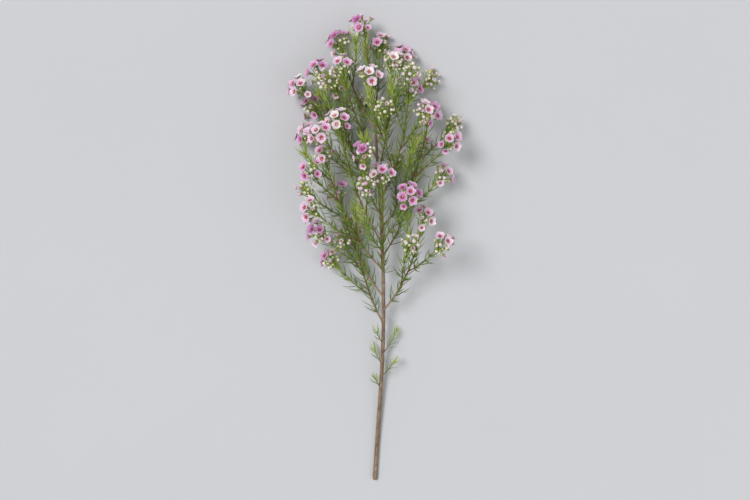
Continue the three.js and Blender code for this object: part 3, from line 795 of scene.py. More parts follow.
def is_clear(twig, kind, rooms, axes):
    """True if a twig with its cluster keeps clear of the clusters and axes that have grown before."""
    centre, radius = room_of(twig, kind)
    others = np.concatenate(axes)
    others = others[np.linalg.norm(others - twig.at(0), axis=1) > FORK_ROOM]
    own = points_on(twig, 0, AXIS_PART[1], AXIS_STEP)
    if touches(others, centre[None], radius) or touches(own, others, AXIS_ROOM):
        return False
    for other, size in rooms:
        if np.linalg.norm(other - centre) <= size + radius or touches(own, other[None], size):
            return False
    return True


def thinned(clusters, twig_points):
    """The clusters without what would touch a twig, another cluster's flower or a petal."""
    flowers = []
    kept = []
    for members in clusters:
        whole = []
        for member in members:
            if not member.is_open or member.holds(twig_points, TWIG_MARGIN).any():
                continue
            beside = near(flowers, member.place, NEAR_BLOOM)
            laps = [flower.holds(member.rim(), PETAL_MARGIN).any() for flower in beside]
            laps += [member.holds(flower.rim(), PETAL_MARGIN).any() for flower in beside]
            if not any(laps):
                whole.append(member)
        if not whole or whole[0] is not members[0]:
            whole = []
        flowers += whole
        kept.append(whole + [member for member in members if not member.is_open])
    return [[each for each in members if each.is_open or not each.is_in_petals(flowers)] for members in kept]


def grow():
    """The sprays of the whole stem, each tried at a few climbs until it is clear of those before it."""
    rooms = []
    axes = [points_on(stem, 0, 1, AXIS_STEP)]
    sprays = []
    for k in range(SPRAYS):
        roll = dice(SEED * 100 + k)
        spray = Spray(k, roll, CLIMB_PLAY)
        for attempt in range(1, TRIES):
            if is_clear(spray.axis, "blooms", rooms, axes):
                break
            spray = Spray(k, roll, CLIMB_PLAY * (1 + MORE_PLAY * attempt))
        if spray.out[2] < LOW_OUT:
            spray.sag()
        rooms.append(room_of(spray.axis, "blooms"))
        axes.append(points_on(spray.axis, *AXIS_PART, AXIS_STEP))
        sprays.append(spray)
    for spray in sprays:
        spray.grow_twigs(rooms, axes)
    proposed = [cluster_on(spray, j) for spray in sprays for j in range(len(spray.twigs))]
    bows = [bow for spray in sprays for bow, _ in spray.twigs]
    twig_points = np.concatenate([points_on(bow, 0, 1, FINE_STEP) for bow in bows])
    clusters = iter(thinned(proposed, np.concatenate([points_on(stem, 0, 1, FINE_STEP), twig_points])))
    for spray in sprays:
        spray.clusters = [next(clusters) for _ in spray.twigs]
    flowers = [flower for spray in sprays for flower in spray.members(True)]
    buds = [bud for spray in sprays for bud in spray.members(False)]
    for spray in sprays:
        spray.later = []
        for j in range(len(spray.twigs)):
            found = later_flowers(spray, j, flowers, buds, twig_points)
            spray.later += found
            flowers += found
    for spray in sprays:
        for j, members in enumerate(spray.clusters):
            members += lesser_buds(spray, j, flowers)
    return sprays


def twig_finish():
    finish = Finish("waxflower_young_bark", Roughness=0.75)
    youth = finish.mark("youth")
    furrows = finish.noise(finish.own(2.2, 2.2, 0.2), 1.0, 5.0, 0.65)
    streaks = finish.noise(finish.own(4.5, 4.5, 0.35), 1.0, 4.0, 0.65)
    colour = finish.ramp(
        youth + (streaks - 0.5) * 0.6,
        [(0.0, paint("a88e70")), (0.3, paint("9a6c4b")), (0.6, paint("927848")), (0.95, paint("96a34a"))],
    )
    shade = finish.blend(finish.step(streaks, 0.35, 0.62) * 0.6, paint("5a4634"), paint("ffffff"))
    shaded = finish.blend(0.5, colour, shade, "MULTIPLY")
    old = (1 - finish.step(youth, 0.05, 0.4)) * finish.step(furrows, 0.42, 0.6)
    finish.feed(Base_Color=finish.blend(old * 0.6, shaded, paint("c4b096")))
    finish.relief(streaks + furrows, 0.3)
    return finish.material


def twig_radius(length, thick, thin, sunk, knuckles):
    """The radius along a twig, which swells where it leaves the wood it is sunk in, and at leaf pairs."""

    def radius_at(s):
        collar = COLLAR * math.exp(-max(s * length - sunk, 0) / COLLAR_REACH)
        return mix(thick, thin, s) * (1 + collar + KNUCKLE * math.sin(s * length * KNUCKLE_PITCH + knuckles))

    return radius_at


def sunk_length(spray):
    """How much of a spray's axis is hidden in the stem."""
    if spray.k == SPRAYS - 1:
        return 0
    sine = np.linalg.norm(np.cross(spray.axis.slope(0), stem.slope(spray.fork)))
    return min(stem_radius(spray.fork) / sine, MOST_SUNK)


sprays = grow()
twig_outline = [(1.0, i / TWIG_RINGS) for i in range(TWIG_RINGS + 1)] + [TWIG_END]
twig_rod = Shape(drawn_up(TWIG_SIDES, twig_outline))
young_bark = twig_finish()


def lay_twig(wood, bow, thick, thin, sunk, knuckles, youth):
    """Lays a twig with its collar. Its bark goes from old to green between two shares of youth."""
    radius_at = twig_radius(bow.length, thick, thin, sunk, knuckles)
    own = twig_rod.points * (thick, thick, bow.length)
    youth = mix(*youth, twig_rod.points[:, 2])
    wood.lay(twig_rod, along_curve(twig_rod, bow, 0, 1, radius_at), own=own, youth=youth)


for spray in sprays:
    wood = Grown()
    lay_twig(wood, spray.axis, SPRAY_RADIUS, SPRAY_TIP_RADIUS, sunk_length(spray), 0, AXIS_YOUTH)
    for j, (bow, _) in enumerate(spray.twigs[1:], 1):
        lay_twig(wood, bow, TWIG_RADIUS, TWIG_TIP_RADIUS, TWIG_SUNK, j, TWIG_YOUTH)
    spray.dress(wood, "twigs", young_bark, "foliage")

# ---- Flower stalks and their cups ----
# Every flower and bud stands on a thin stalk that bends from the twig to face outwards. It widens into a
# fleshy green cup with ten ribs, which ends in five small blunt sepals, pink at the edge.

CUP_RADIUS = 1.9
CUP_LENGTH = 4.6
CUP_RIBS = 10
RIB_DEPTH = 0.06
BUD_CUP = (0.8, 1.75, 2)  # its radius, its length, and how far below the bud it starts, in the bud's radii
SEPALS = 5
SEPAL_SIDES = 8
SEPAL_HALF = 0.85
SEPAL_THICKNESS = 0.22
SEPAL_RIM = 0.3
SEPAL_DISH = 0.12
SEPAL_TILT = 0.5
SEPAL_ROOT = (0, 0.8 * CUP_RADIUS, -0.35)
SEPAL_MARK = (0, 0, 0.9)  # coloured as the cup is near its rim
STALK_RADIUS = 0.36
BUD_STALK = 0.85  # a bud's stalk, as a share of a flower's
STALK_FLARE = 1.15
STALK_SIDES = 4
STALK_RINGS = 5


def cup_finish():
    finish = Finish("waxflower_cup", Roughness=0.45, Coat_Weight=0.15)
    height = finish.part("Z")
    mottle = finish.noise(finish.own(1.0, 1.0, 1.0), 1.3, 3.0)
    green = finish.blend(finish.mark("tone"), paint("6f8f35"), paint("b3bd62"))
    shaded = finish.blend(finish.step(mottle, 0.4, 0.65) * 0.5, green, paint("8c9a3e"))
    finish.feed(Base_Color=finish.blend(finish.step(height, 0.75, 1.05) * 0.55, shaded, paint("c98f93")))
    finish.relief(mottle, 0.15)
    return finish.material


def sepal_model():
    """A blunt, dished sepal, pointing along Y from its root."""
    bpy.ops.object.select_all(action="DESELECT")
    settings = {"vertices": SEPAL_SIDES, "radius": SEPAL_HALF, "fill_type": "NGON"}
    bpy.ops.mesh.primitive_circle_add(location=(0, SEPAL_HALF, 0), **settings)
    bpy.ops.object.transform_apply()
    bpy.ops.object.mode_set(mode="EDIT")
    bpy.ops.mesh.extrude_region_move(TRANSFORM_OT_translate={"value": (0, 0, SEPAL_THICKNESS)})
    bpy.ops.mesh.inset(thickness=SEPAL_RIM, depth=-SEPAL_DISH)
    bpy.ops.mesh.select_all(action="SELECT")
    bpy.ops.mesh.normals_make_consistent(inside=False)
    bpy.ops.object.mode_set(mode="OBJECT")
    return bpy.context.object


def spun(points, way, angle):
    """Points turned by an angle round X, Y or Z, which are the ways 0, 1 and 2."""
    first, second = (way + 1) % 3, (way + 2) % 3
    cosine, sine = math.cos(angle), math.sin(angle)
    moved = points.copy()
    moved[:, first] = points[:, first] * cosine - points[:, second] * sine
    moved[:, second] = points[:, first] * sine + points[:, second] * cosine
    return moved


def flower_frame(flower):
    """A flower's three directions and its size. Its first petal points to the neighbour that it laps."""
    axis = flower.axis
    towards = flower.neighbour.place - flower.place
    ahead = around(axis, 0) if flower.neighbour is flower else unit(towards - axis * towards.dot(axis))
    return np.array([np.cross(ahead, axis), ahead, axis]) * (flower.radius / BLOOM_RADIUS)


def stand(points, place, axis, turn=0.0):
    """Points of a shape that stands on Z, set at a place and turned to an axis."""
    side = around(axis, turn)
    return place + points @ np.array([side, np.cross(axis, side), axis])


cup_foot = [(0.2, 0.0), (0.23, 0.04), (0.3, 0.16), (0.46, 0.36)]
cup_outline = cup_foot + [(0.68, 0.6), (0.9, 0.82), (1.02, 0.95), (0.96, 1.0), (0.8, 0.97)]
cup_model = drawn_up(CUP_RIBS * 2, cup_outline)
for vertex in cup_model.data.vertices:
    rib = round(math.atan2(vertex.co.y, vertex.co.x) / TURN * CUP_RIBS * 2) % 2
    vertex.co.xy *= 1 + RIB_DEPTH * (1 if rib else -1)
cup = Shape(cup_model)
bud_cup = Shape(drawn_up(8, [(0.25, 0.0), (0.32, 0.16), (0.62, 0.5), (0.98, 0.9), (0.9, 1.0)]))
stalk_rod = Shape(drawn_up(STALK_SIDES, [(1.0, i / STALK_RINGS) for i in range(STALK_RINGS + 1)]))
sepal = Shape(sepal_model())
cup_green = cup_finish()
heads = [[m for m in members if m.is_open] for spray in sprays for members in spray.clusters]
heads = [members for members in heads if members]
for members in heads:
    for index, member in enumerate(members):
        member.neighbour = members[0] if index else members[-1]
later = [flower for spray in sprays for flower in spray.later]
for flower in later:
    flower.neighbour = flower


def lay_stalk(stalks, member, tone):
    """Lays a flower's or bud's stalk and cup, and the sepals of an open flower."""
    width, length, drop, thin = CUP_RADIUS, CUP_LENGTH, CUP_LENGTH, STALK_RADIUS
    if not member.is_open:
        width, length, drop = [share * member.radius for share in BUD_CUP]
        thin *= BUD_STALK
    foot = member.place - member.axis * drop
    root = member.curve.at(member.share)
    stalk = Bow(root, foot - member.axis * (0.5 * np.linalg.norm(foot - root)), foot)
    places = along_curve(stalk_rod, stalk, 0, 1, lambda s: thin * mix(1, STALK_FLARE, s))
    stalks.lay(stalk_rod, places, tone=tone, own=stalk_rod.points * (1, 1, 0))
    shape = cup if member.is_open else bud_cup
    stalks.lay(shape, stand(shape.points * (width, width, length), foot, member.axis), tone=tone)
    if member.is_open:
        leaned = spun(sepal.points, 0, SEPAL_TILT) + SEPAL_ROOT
        for i in range(SEPALS):
            places = member.place + spun(leaned, 2, (i + 0.5) * TURN / SEPALS) @ flower_frame(member)
            stalks.lay(sepal, places, tone=tone, own=sepal.points * (1, 1, 0) + SEPAL_MARK)


for spray in sprays:
    stalks = Grown()
    tone_roll = dice(SEED * 31 + spray.k)
    for member in [member for members in spray.clusters for member in members] + spray.later:
        lay_stalk(stalks, member, tone_roll())
    spray.dress(stalks, "stalks", cup_green, "foliage")

# ---- Buds ----
# Round waxy buds, with their five petals folded over each other. Small ones are cream and yellowish green,
# and turn white and then pink as they swell.

OPENING_RADIUS = 2.5  # larger buds than this have begun to open
BUD_SIDES = 10
BUD_RINGS = 6
BUD_ENDS = (0.12, 0.97)  # from pole to pole, in half turns
BUD_FILL = 0.97
BUD_RISE = 0.05
FOLD = 0.07
FOLD_START = -0.4
BUD_AGE_PLAY = (-0.22, 0.22)


def bud_finish():
    finish = Finish(
        "waxflower_bud", Roughness=0.38, Coat_Weight=0.25, Subsurface_Weight=0.1, Subsurface_Scale=MM
    )
    height = finish.part("Z")
    mottle = finish.noise(finish.own(1.0, 1.0, 1.0), 1.6, 2.0)
    turn = finish.part("Y").arctan2(finish.part("X")) * 2.5 + height * 1.1
    wave = turn.sine().size()
    seam = (1 - finish.step(wave, 0.02, 0.2)) * finish.step(height, -0.2, 0.35)
    colour = finish.ramp(
        finish.mark("age"),
        [(0.0, paint("bccb7c")), (0.22, paint("e4e5ae")), (0.45, paint("f5f0de")), (0.75, paint("f4e4ea")),
         (1.0, paint("e9bcd8"))],
    )
    tip = finish.step(height, 0.2, 1.0) * finish.step(finish.mark("age"), 0.35, 0.8)
    blushed = finish.blend(tip * mottle * 0.8, colour, paint("d78fc0"))
    low = 1 - finish.step(height, -0.9, -0.3)
    shaded = finish.blend(low * 0.6, blushed, paint("b9c077"))
    finish.feed(Base_Color=finish.blend(seam * 0.3, shaded, paint("c79aa6")))
    finish.relief(wave * 0.6 + mottle * 0.2, 0.35)
    return finish.material


bud_turns = [math.pi * mix(*BUD_ENDS, i / BUD_RINGS) for i in range(BUD_RINGS + 1)]
bud_model = drawn_up(BUD_SIDES, [(math.sin(turn), -math.cos(turn)) for turn in bud_turns])
for vertex in bud_model.data.vertices:
    fold = round(math.atan2(vertex.co.y, vertex.co.x) / TURN * BUD_SIDES) % 2
    vertex.co.xy *= 1 - FOLD * fold * max(vertex.co.z - FOLD_START, 0)
bud = Shape(bud_model)
bud_wax = bud_finish()
for spray in sprays:
    buds = Grown()
    look_roll = dice(SEED * 37 + spray.k)
    for member in [member for member in spray.members(False) if member.radius <= OPENING_RADIUS]:
        swelling = (member.radius / BUD_RADIUS - SMALL_BUD_SIZE[0]) / (BUD_SIZE[1] - SMALL_BUD_SIZE[0])
        age = np.clip(swelling + draw(look_roll, BUD_AGE_PLAY), 0, 1)
        place = member.place + member.axis * (BUD_RISE * member.radius)
        points = bud.points * (BUD_FILL * member.radius)
        buds.lay(bud, stand(points, place, member.axis, look_roll() * TURN), age=age)
    spray.dress(buds, "buds", bud_wax, "petals")

# ---- Needle leaves ----
# Narrow, fleshy leaves in crossed pairs, three-edged and bowed, with a small hooked point. They are dark
# green low on the stem and a fresh yellowish green at the tips of shoots, dotted with oil glands.

NEEDLE_LENGTH = 21
NEEDLE_PLAY = (0.72, 1.15)
NEEDLE_RADIUS = 0.66
NEEDLE_SPACING = 8.5
LEAFY_SPACING = 6
LEAN_AT_ROOT = 52
LEAN_AT_TIP = 22
LEAN_PLAY = (0.8, 1.2)
TURN_PLAY = (-14, 14)
STEEPEST_FALL = -0.9
NEEDLE_TESTS = 16
NEEDLE_FLATNESS = 0.72
NEEDLE_BOW = 0.05  # how far the middle stands out, as a share of the length
HOOK = 0.5
HOOK_START = 0.88
NEEDLE_START = 0.1  # shares of the twig
NEEDLE_END = 0.97
YOUTH = (0.1, 0.75)
YOUTH_PLAY = (-0.3, 0.3)
LEAFY_YOUTH = 0.15
TUFT_SHARE = 0.7  # of the needles, those with a short shoot beside them
TUFT_NEEDLES = 4
TUFT_SIZE = (0.35, 0.72)
TUFT_LEAN = (8, 34)
TUFT_OUT = 0.8
TUFT_THINNING = 0.8
TUFT_YOUTH = (-0.1, 0.4)
CROWN_NEEDLES = 7  # at the end of each twig, among the stalks
CROWN_SHARES = (0.8, 0.99)
CROWN_LEAN = (8, 38)
CROWN_YOUTH = (0.55, 1.0)


class Needle:
    """A needle leaf, turned up where it would sink into the surface."""

    def __init__(self, curve, share, direction, length, radius=NEEDLE_RADIUS):
        self.curve = curve
        self.share = share
        self.radius = radius
        self.root = curve.footing(share)
        lowest = NEEDLE_RADIUS - self.root[2]
        if direction[2] * length < lowest:
            direction[2] = max(lowest / length, STEEPEST_FALL)
            direction = unit(direction)
        self.direction = direction
        self.length = length

    def is_clear(self, flowers):
        middle = self.root + self.direction * (self.length / 2)
        steps = self.root + self.direction * np.linspace(0, self.length, NEEDLE_TESTS)[:, None]
        beside = near(flowers, middle, self.length / 2 + 2 * BLOOM_RADIUS)
        return not any(flower.holds(steps, NEEDLE_RADIUS + PETAL_MARGIN).any() for flower in beside)


def needles_along(curve, start, end, spacing, seed):
    """Needles in crossed pairs along a curve, leaning forward more towards its tip."""
    roll = dice(seed)
    pairs = math.floor(curve.length * (end - start) / spacing)
    for i in range(pairs):
        share = mix(start, end, (i + 0.5) / pairs)
        for half in (0, 1):
            turn = (i + 0.5) * TURN / 4 + half * TURN / 2 + swing(roll, TURN_PLAY)
            lean = math.radians(mix(LEAN_AT_ROOT, LEAN_AT_TIP, share) * draw(roll, LEAN_PLAY))
            length = NEEDLE_LENGTH * draw(roll, NEEDLE_PLAY)
            yield Needle(curve, share, leaning(curve.slope(share), lean, turn), length)


def leaf_finish():
    finish = Finish("waxflower_leaf", Roughness=0.42, Coat_Weight=0.1)
    height = finish.part("Z")
    mottle = finish.noise(finish.own(1.0, 1.0, 10.0), 1.0, 3.0)
    green = finish.ramp(
        finish.mark("youth"),
        [(0.0, paint("3f5a20")), (0.35, paint("5d7f2c")), (0.7, paint("87a43c")), (1.0, paint("bccb5c"))],
    )
    lit = finish.blend(finish.step(mottle, 0.4, 0.7) * 0.35, green, paint("a2b457"))
    finish.feed(Base_Color=finish.blend(finish.step(height, 0.9, 1.0) * 0.5, lit, paint("a9884a")))
    glands = finish.noise(finish.own(1.0, 1.0, 20.0), 2.5, 0.0)
    finish.relief(glands, 0.08)
    return finish.material


needle_outline = [(0.5, 0.0), (0.7, 0.07), (1.0, 0.3), (0.94, 0.58), (0.66, 0.8), (0.36, 0.93), (0.06, 1.0)]
needle_model = drawn_up(5, needle_outline)
for vertex in needle_model.data.vertices:
    vertex.co.y *= NEEDLE_FLATNESS
needle_shape = Shape(needle_model)
small_needle = Shape(drawn_up(4, [(0.5, 0.0), (0.95, 0.25), (0.85, 0.65), (0.08, 1.0)]))
leaf_green = leaf_finish()
flowers = [flower for members in heads for flower in members] + later


def lay_needle(leaves, shape, needle, youth, finish=0):
    """Lays a needle from the smooth twig, bowed out in its middle and hooked in at its point."""
    forward = needle.curve.slope(needle.share)
    inward = unit(forward - needle.direction * forward.dot(needle.direction))
    side = np.cross(needle.direction, inward)
    share = shape.points[:, 2:]
    bowed = NEEDLE_BOW * needle.length * 4 * share * (1 - share)
    hooked = HOOK * np.maximum(share - HOOK_START, 0) / (1 - HOOK_START)
    spine = needle.direction * (share * needle.length) + inward * (hooked - bowed)
    across = side * shape.points[:, :1] + inward * shape.points[:, 1:2]
    places = needle.curve.at(needle.share) + spine + across * needle.radius
    leaves.lay(shape, places, finish, youth=np.clip(youth, 0, 1))


def tuft(needle, roll):
    """The small needles of a short shoot in the angle between a needle and its twig."""
    middle = unit(needle.curve.slope(needle.share) + needle.direction * TUFT_OUT)
    for _ in range(TUFT_NEEDLES):
        direction = leaning(middle, swing(roll, TUFT_LEAN), roll() * TURN)
        length = NEEDLE_LENGTH * draw(roll, TUFT_SIZE)
        yield Needle(needle.curve, needle.share, direction, length, NEEDLE_RADIUS * TUFT_THINNING)


def crown(curve, count, roll):
    """The young needles round the very end of a twig."""
    for _ in range(count):
        share = draw(roll, CROWN_SHARES)
        direction = leaning(curve.slope(1), swing(roll, CROWN_LEAN), roll() * TURN)
        yield Needle(curve, share, direction, NEEDLE_LENGTH * draw(roll, NEEDLE_PLAY))


for spray in sprays:
    leaves = Grown()
    look_roll = dice(SEED * 41 + spray.k)
    for j, (bow, kind) in enumerate(spray.twigs):
        is_leafy = kind == "leaves"
        end, spacing = (1, LEAFY_SPACING) if is_leafy else (NEEDLE_END, NEEDLE_SPACING)
        for needle in needles_along(bow, NEEDLE_START, end, spacing, SEED * 7000 + 20 * spray.k + j):
            youth = mix(*YOUTH, needle.share) + LEAFY_YOUTH * is_leafy
            if needle.is_clear(flowers):
                lay_needle(leaves, needle_shape, needle, youth + draw(look_roll, YOUTH_PLAY))
            if look_roll() < TUFT_SHARE:
                for small in tuft(needle, look_roll):
                    if small.is_clear(flowers):
                        lay_needle(leaves, small_needle, small, youth + draw(look_roll, TUFT_YOUTH))
        for needle in crown(bow, CROWN_NEEDLES, look_roll):
            if needle.is_clear(flowers):
                lay_needle(leaves, needle_shape, needle, draw(look_roll, CROWN_YOUTH))
    spray.dress(leaves, "leaves", leaf_green, "foliage")

# ---- Short leafy shoots ----
# Below its first fork the stem keeps a few short shoots that never flowered: thin twigs, green from close to
# their root, with crossed pairs of small needles set close together.

SHOOT_FORKS = (0.205, 0.232, 0.262, 0.287, 0.312)  # shares of the main stem
SHOOT_LENGTHS = (15, 27, 20, 33, 24)
SHOOT_TURNS = (150, 20, 205, -25, 128)  # degrees round the stem, from the side of level X
SHOOT_ANGLES = (44, 24)  # from the stem, at the root and at the tip
SHOOT_RADIUS = 0.65
SHOOT_TIP_RADIUS = 0.39
SHOOT_SUNK = 4.2
SHOOT_BARK = (0.4, 1.0)
SHOOT_START = 0.25
SHOOT_SPACING = 3.6
SHOOT_CROWN = 5
SHOOT_NEEDLES = 0.62  # their length, as a share of the others'
SHOOT_THINNING = 0.8
SHOOT_YOUTH = (0.3, 0.9)
SHOOT_YOUTH_PLAY = (-0.2, 0.2)

shoots = Grown()
look_roll = dice(SEED * 47)
for number, (fork, length, turn) in enumerate(zip(SHOOT_FORKS, SHOOT_LENGTHS, SHOOT_TURNS)):
    forward = stem.slope(fork)
    leave, follow = [leaning(forward, math.radians(angle), math.radians(turn)) for angle in SHOOT_ANGLES]
    bend = stem.at(fork) + leave * (length / 2)
    shoot = Bow(stem.at(fork), bend, bend + follow * (length / 2))
    lay_twig(shoots, shoot, SHOOT_RADIUS, SHOOT_TIP_RADIUS, SHOOT_SUNK, number, SHOOT_BARK)
    needles = list(needles_along(shoot, SHOOT_START, 1, SHOOT_SPACING, SEED * 49 + number))
    needles += crown(shoot, SHOOT_CROWN, look_roll)
    for needle in needles:
        needle.length *= SHOOT_NEEDLES
        needle.radius *= SHOOT_THINNING
        youth = mix(*SHOOT_YOUTH, needle.share) + draw(look_roll, SHOOT_YOUTH_PLAY)
        lay_needle(shoots, needle_shape, needle, youth, 1)
shoots.piece("low_shoots", [young_bark, leaf_green], "foliage")

# ---- Open flowers ----
# Five round, waxy petals stand round a shallow glossy dish, crimson in pink flowers and salmon in pale new
# ones. Ten longer and ten shorter stamens with bead-like tips ring the dish, and a short style stands in it.
# Each cluster has its first flowers, and up to two smaller ones that opened later.

PETALS = 5
PETAL_HALF = 2.55  # half of a petal's length
PETAL_SIDES = 16
PETAL_INSETS = (0.42, 0.95)
PETAL_RISES = ((1.0, 0.18), (2.0, 0.3), (2.4, 0.2))  # how far from the middle the surface rises, and how much
PETAL_FLAT = -1.2  # where the flat root of the petal ends, from its middle
NECK_START = -1.9
NECK_WIDTH = 0.72
TIP_START = 2.3
TIP_CURL = (0, -0.08, 0.12)
PETAL_WIDTH = 1.14  # its width, as a share of its length
PETAL_MIDDLE = 4.3  # from the flower's axis to the petal's middle
PETAL_THICKNESS = 0.32
PETAL_STEP = 0.08  # how much higher every second petal stands
PETAL_HINGE = 1.9  # from the flower's axis
PETAL_BASE = 0.66  # height of the petals' roots
NEW_TILT = 0.5  # radians above level of a new flower's petals
OLD_TILT = 0.24
LAP_TILT = 0.16
TILT_PLAY = (-0.07, 0.07)
RING_TURN_PLAY = (-0.06, 0.06)
OPEN_TWIST = 0.07
CLUSTER_AGES = (0.15, 0.85)  # from white, newly open flowers to deep pink ones
AGE_PLAY = (-0.3, 0.3)
LATER_AGES = (0.1, 0.75)
RUFFLE = 0.16  # how far a petal's rim waves
CURL = (-0.1, 0.35)  # how far it turns up
STAMENS = 20
STAMEN_RING = 2.45
STAMEN_BASE = 1.0
STAMEN_KINDS = ((0.8, 0.3), (0.6, 0.62))  # size and lean inwards, in turn
STYLE_BASE = 0.45


def chosen(where):
    """Selects the vertices of the model in edit mode whose place passes the test."""
    bpy.ops.mesh.select_all(action="DESELECT")
    bpy.ops.object.mode_set(mode="OBJECT")
    for vertex in bpy.context.object.data.vertices:
        vertex.select = where(vertex.co)
    bpy.ops.object.mode_set(mode="EDIT")


def petal_model():
    """One petal, pointing along Y from the flower's axis, dished and turned up at its rim."""
    bpy.ops.object.select_all(action="DESELECT")
    bpy.ops.mesh.primitive_circle_add(vertices=PETAL_SIDES, radius=PETAL_HALF, fill_type="NGON")
    bpy.ops.object.mode_set(mode="EDIT")
    for inset in PETAL_INSETS:
        bpy.ops.mesh.inset(thickness=inset)
    bpy.ops.mesh.poke()
    bpy.ops.object.mode_set(mode="OBJECT")
    bpy.context.tool_settings.mesh_select_mode = (True, False, False)
    bpy.ops.object.mode_set(mode="EDIT")
    for reach, rise in PETAL_RISES:
        chosen(lambda place: math.hypot(place.x, place.y) > reach and place.y > PETAL_FLAT)
        bpy.ops.transform.translate(value=(0, 0, rise))
    chosen(lambda place: place.y < NECK_START)
    bpy.ops.transform.resize(value=(NECK_WIDTH, 1, 1), center_override=(0, 0, 0))
    chosen(lambda place: place.y > TIP_START)
    bpy.ops.transform.translate(value=TIP_CURL)
    bpy.ops.mesh.select_all(action="SELECT")
    bpy.ops.transform.resize(value=(PETAL_WIDTH, 1, 1), center_override=(0, 0, 0))
    bpy.ops.transform.translate(value=(0, PETAL_MIDDLE, 0))
    bpy.ops.object.mode_set(mode="OBJECT")
    model = bpy.context.object
    wall = model.modifiers.new("wall", "SOLIDIFY")
    wall.thickness = PETAL_THICKNESS
    wall.offset = 0
    bpy.ops.object.modifier_apply(modifier=wall.name)
    return model


def petal_finish():
    finish = Finish(
        "waxflower_petal", Roughness=0.4, Coat_Weight=0.15, Subsurface_Weight=0.12, Subsurface_Scale=MM
    )
    reach = finish.reach(0, PETAL_MIDDLE, 0)
    from_axis = finish.part("Y")
    veins = finish.noise(finish.own(3.0, 0.5, 0.0), 1.0, 3.0, 0.6)
    rim = finish.step(reach + veins * 0.7, 1.4, 3.0) * finish.step(from_axis, 2.8, 4.6)
    heart = 1 - finish.step(from_axis + veins, 2.2, 4.4)
    age = finish.mark("age")
    colour = finish.ramp(
        age + (veins - 0.5) * 0.25,
        [(0.0, paint("f5ecee")), (0.25, paint("efd2e3")), (0.55, paint("dda3d0")), (0.85, paint("cd86c2")),
         (1.0, paint("bb62ad"))],
    )
    deep = finish.blend(heart * 0.55, colour, paint("c3609c"))
    finish.feed(Base_Color=finish.blend(rim * (1 - age * 0.5) * 0.75, deep, paint("f8eff3")))
    finish.relief(veins, 0.12)
    return finish.material


def dish_finish():
    finish = Finish("waxflower_dish", Roughness=0.22, Coat_Weight=0.4)
    mottle = finish.noise(finish.own(1.0, 1.0, 1.0), 1.5, 2.0)
    colour = finish.ramp(
        finish.mark("age"),
        [(0.0, paint("c07a50")), (0.25, paint("b34a48")), (0.6, paint("a32048")), (1.0, paint("7c1540"))],
    )
    glossy = finish.blend(finish.step(mottle, 0.35, 0.7) * 0.45, colour, paint("7a1836"))
    under = 1 - finish.step(finish.part("Z") / finish.reach(), 0.33, 0.4)
    finish.feed(Base_Color=finish.blend(under, glossy, paint("8fa055")))
    return finish.material


def stamen_finish():
    finish = Finish("waxflower_stamens", Roughness=0.5)
    height = finish.part("Z")
    pale = finish.ramp(height, [(0.0, paint("b8487c")), (0.55, paint("dc9fbe")), (0.75, paint("f3ead8"))])
    mottle = finish.noise(finish.own(1.0, 1.0, 1.0), 4.0, 1.0)
    finish.feed(Base_Color=finish.blend(finish.step(mottle, 0.4, 0.7) * 0.3, pale, paint("e5c7b0")))
    return finish.material


def ruffled(points, curl, start):
    """A petal's points, turned up and waved towards its rim."""
    x, y, z = points.T
    share = np.hypot(x, y - PETAL_MIDDLE) / PETAL_HALF
    wave = RUFFLE * np.sin(4 * np.arctan2(y - PETAL_MIDDLE, x) + start)
    outer = y > PETAL_MIDDLE - 1
    return np.stack([x, y, z + outer * (curl * share ** 2 + wave * share ** 4)], axis=1)


petal_shape = Shape(petal_model())
dish_wall = [(1.4, 0.1), (2.3, 0.55), (2.75, 0.95), (2.62, 1.14)]
dish = Shape(drawn_up(15, dish_wall + [(2.25, 1.0), (1.5, 0.62), (0.6, 0.5), (0.2, 0.55)]))
stamen = Shape(drawn_up(4, [(0.13, 0.0), (0.11, 0.62), (0.23, 0.72), (0.22, 0.98), (0.05, 1.1)]))
style = Shape(drawn_up(6, [(0.17, 0.0), (0.15, 0.8), (0.26, 0.92), (0.24, 1.04), (0.06, 1.12)]))
flower_finishes = [petal_finish(), dish_finish(), stamen_finish()]


def lay_petals(head, place, base, tilts, twist, age, roll):
    """Lays a flower's petals, each tilted up, turned a little under the next, and waved in its own way."""
    for i, tilt in enumerate(tilts):
        petal = ruffled(petal_shape.points, draw(roll, CURL), roll() * TURN)
        petal = spun(petal - (0, PETAL_HINGE, 0), 1, twist)
        petal = spun(petal, 0, tilt + draw(roll, TILT_PLAY))
        petal += (0, PETAL_HINGE, PETAL_BASE + PETAL_STEP * (i % 2))
        ringed = spun(petal, 2, i * TURN / PETALS + draw(roll, RING_TURN_PLAY))
        head.lay(petal_shape, place + ringed @ base, age=age)


def lay_flower(head, flower, age, lap, roll):
    """Lays a whole open flower: its petals, its dish, the ring of stamens and the style."""
    base = flower_frame(flower)
    tilt = mix(NEW_TILT, OLD_TILT, age)
    lay_petals(head, flower.place, base, [tilt + lap] + [tilt] * (PETALS - 1), OPEN_TWIST, age, roll)
    head.lay(dish, flower.place + dish.points @ base, 1, age=age)
    for i in range(STAMENS):
        size, lean = STAMEN_KINDS[i % 2]
        leaned = spun(stamen.points * size, 0, lean) + (0, STAMEN_RING, STAMEN_BASE)
        head.lay(stamen, flower.place + spun(leaned, 2, (i + 0.5) * TURN / STAMENS) @ base, 2, age=age)
    head.lay(style, flower.place + (style.points + (0, 0, STYLE_BASE)) @ base, 2, age=age)


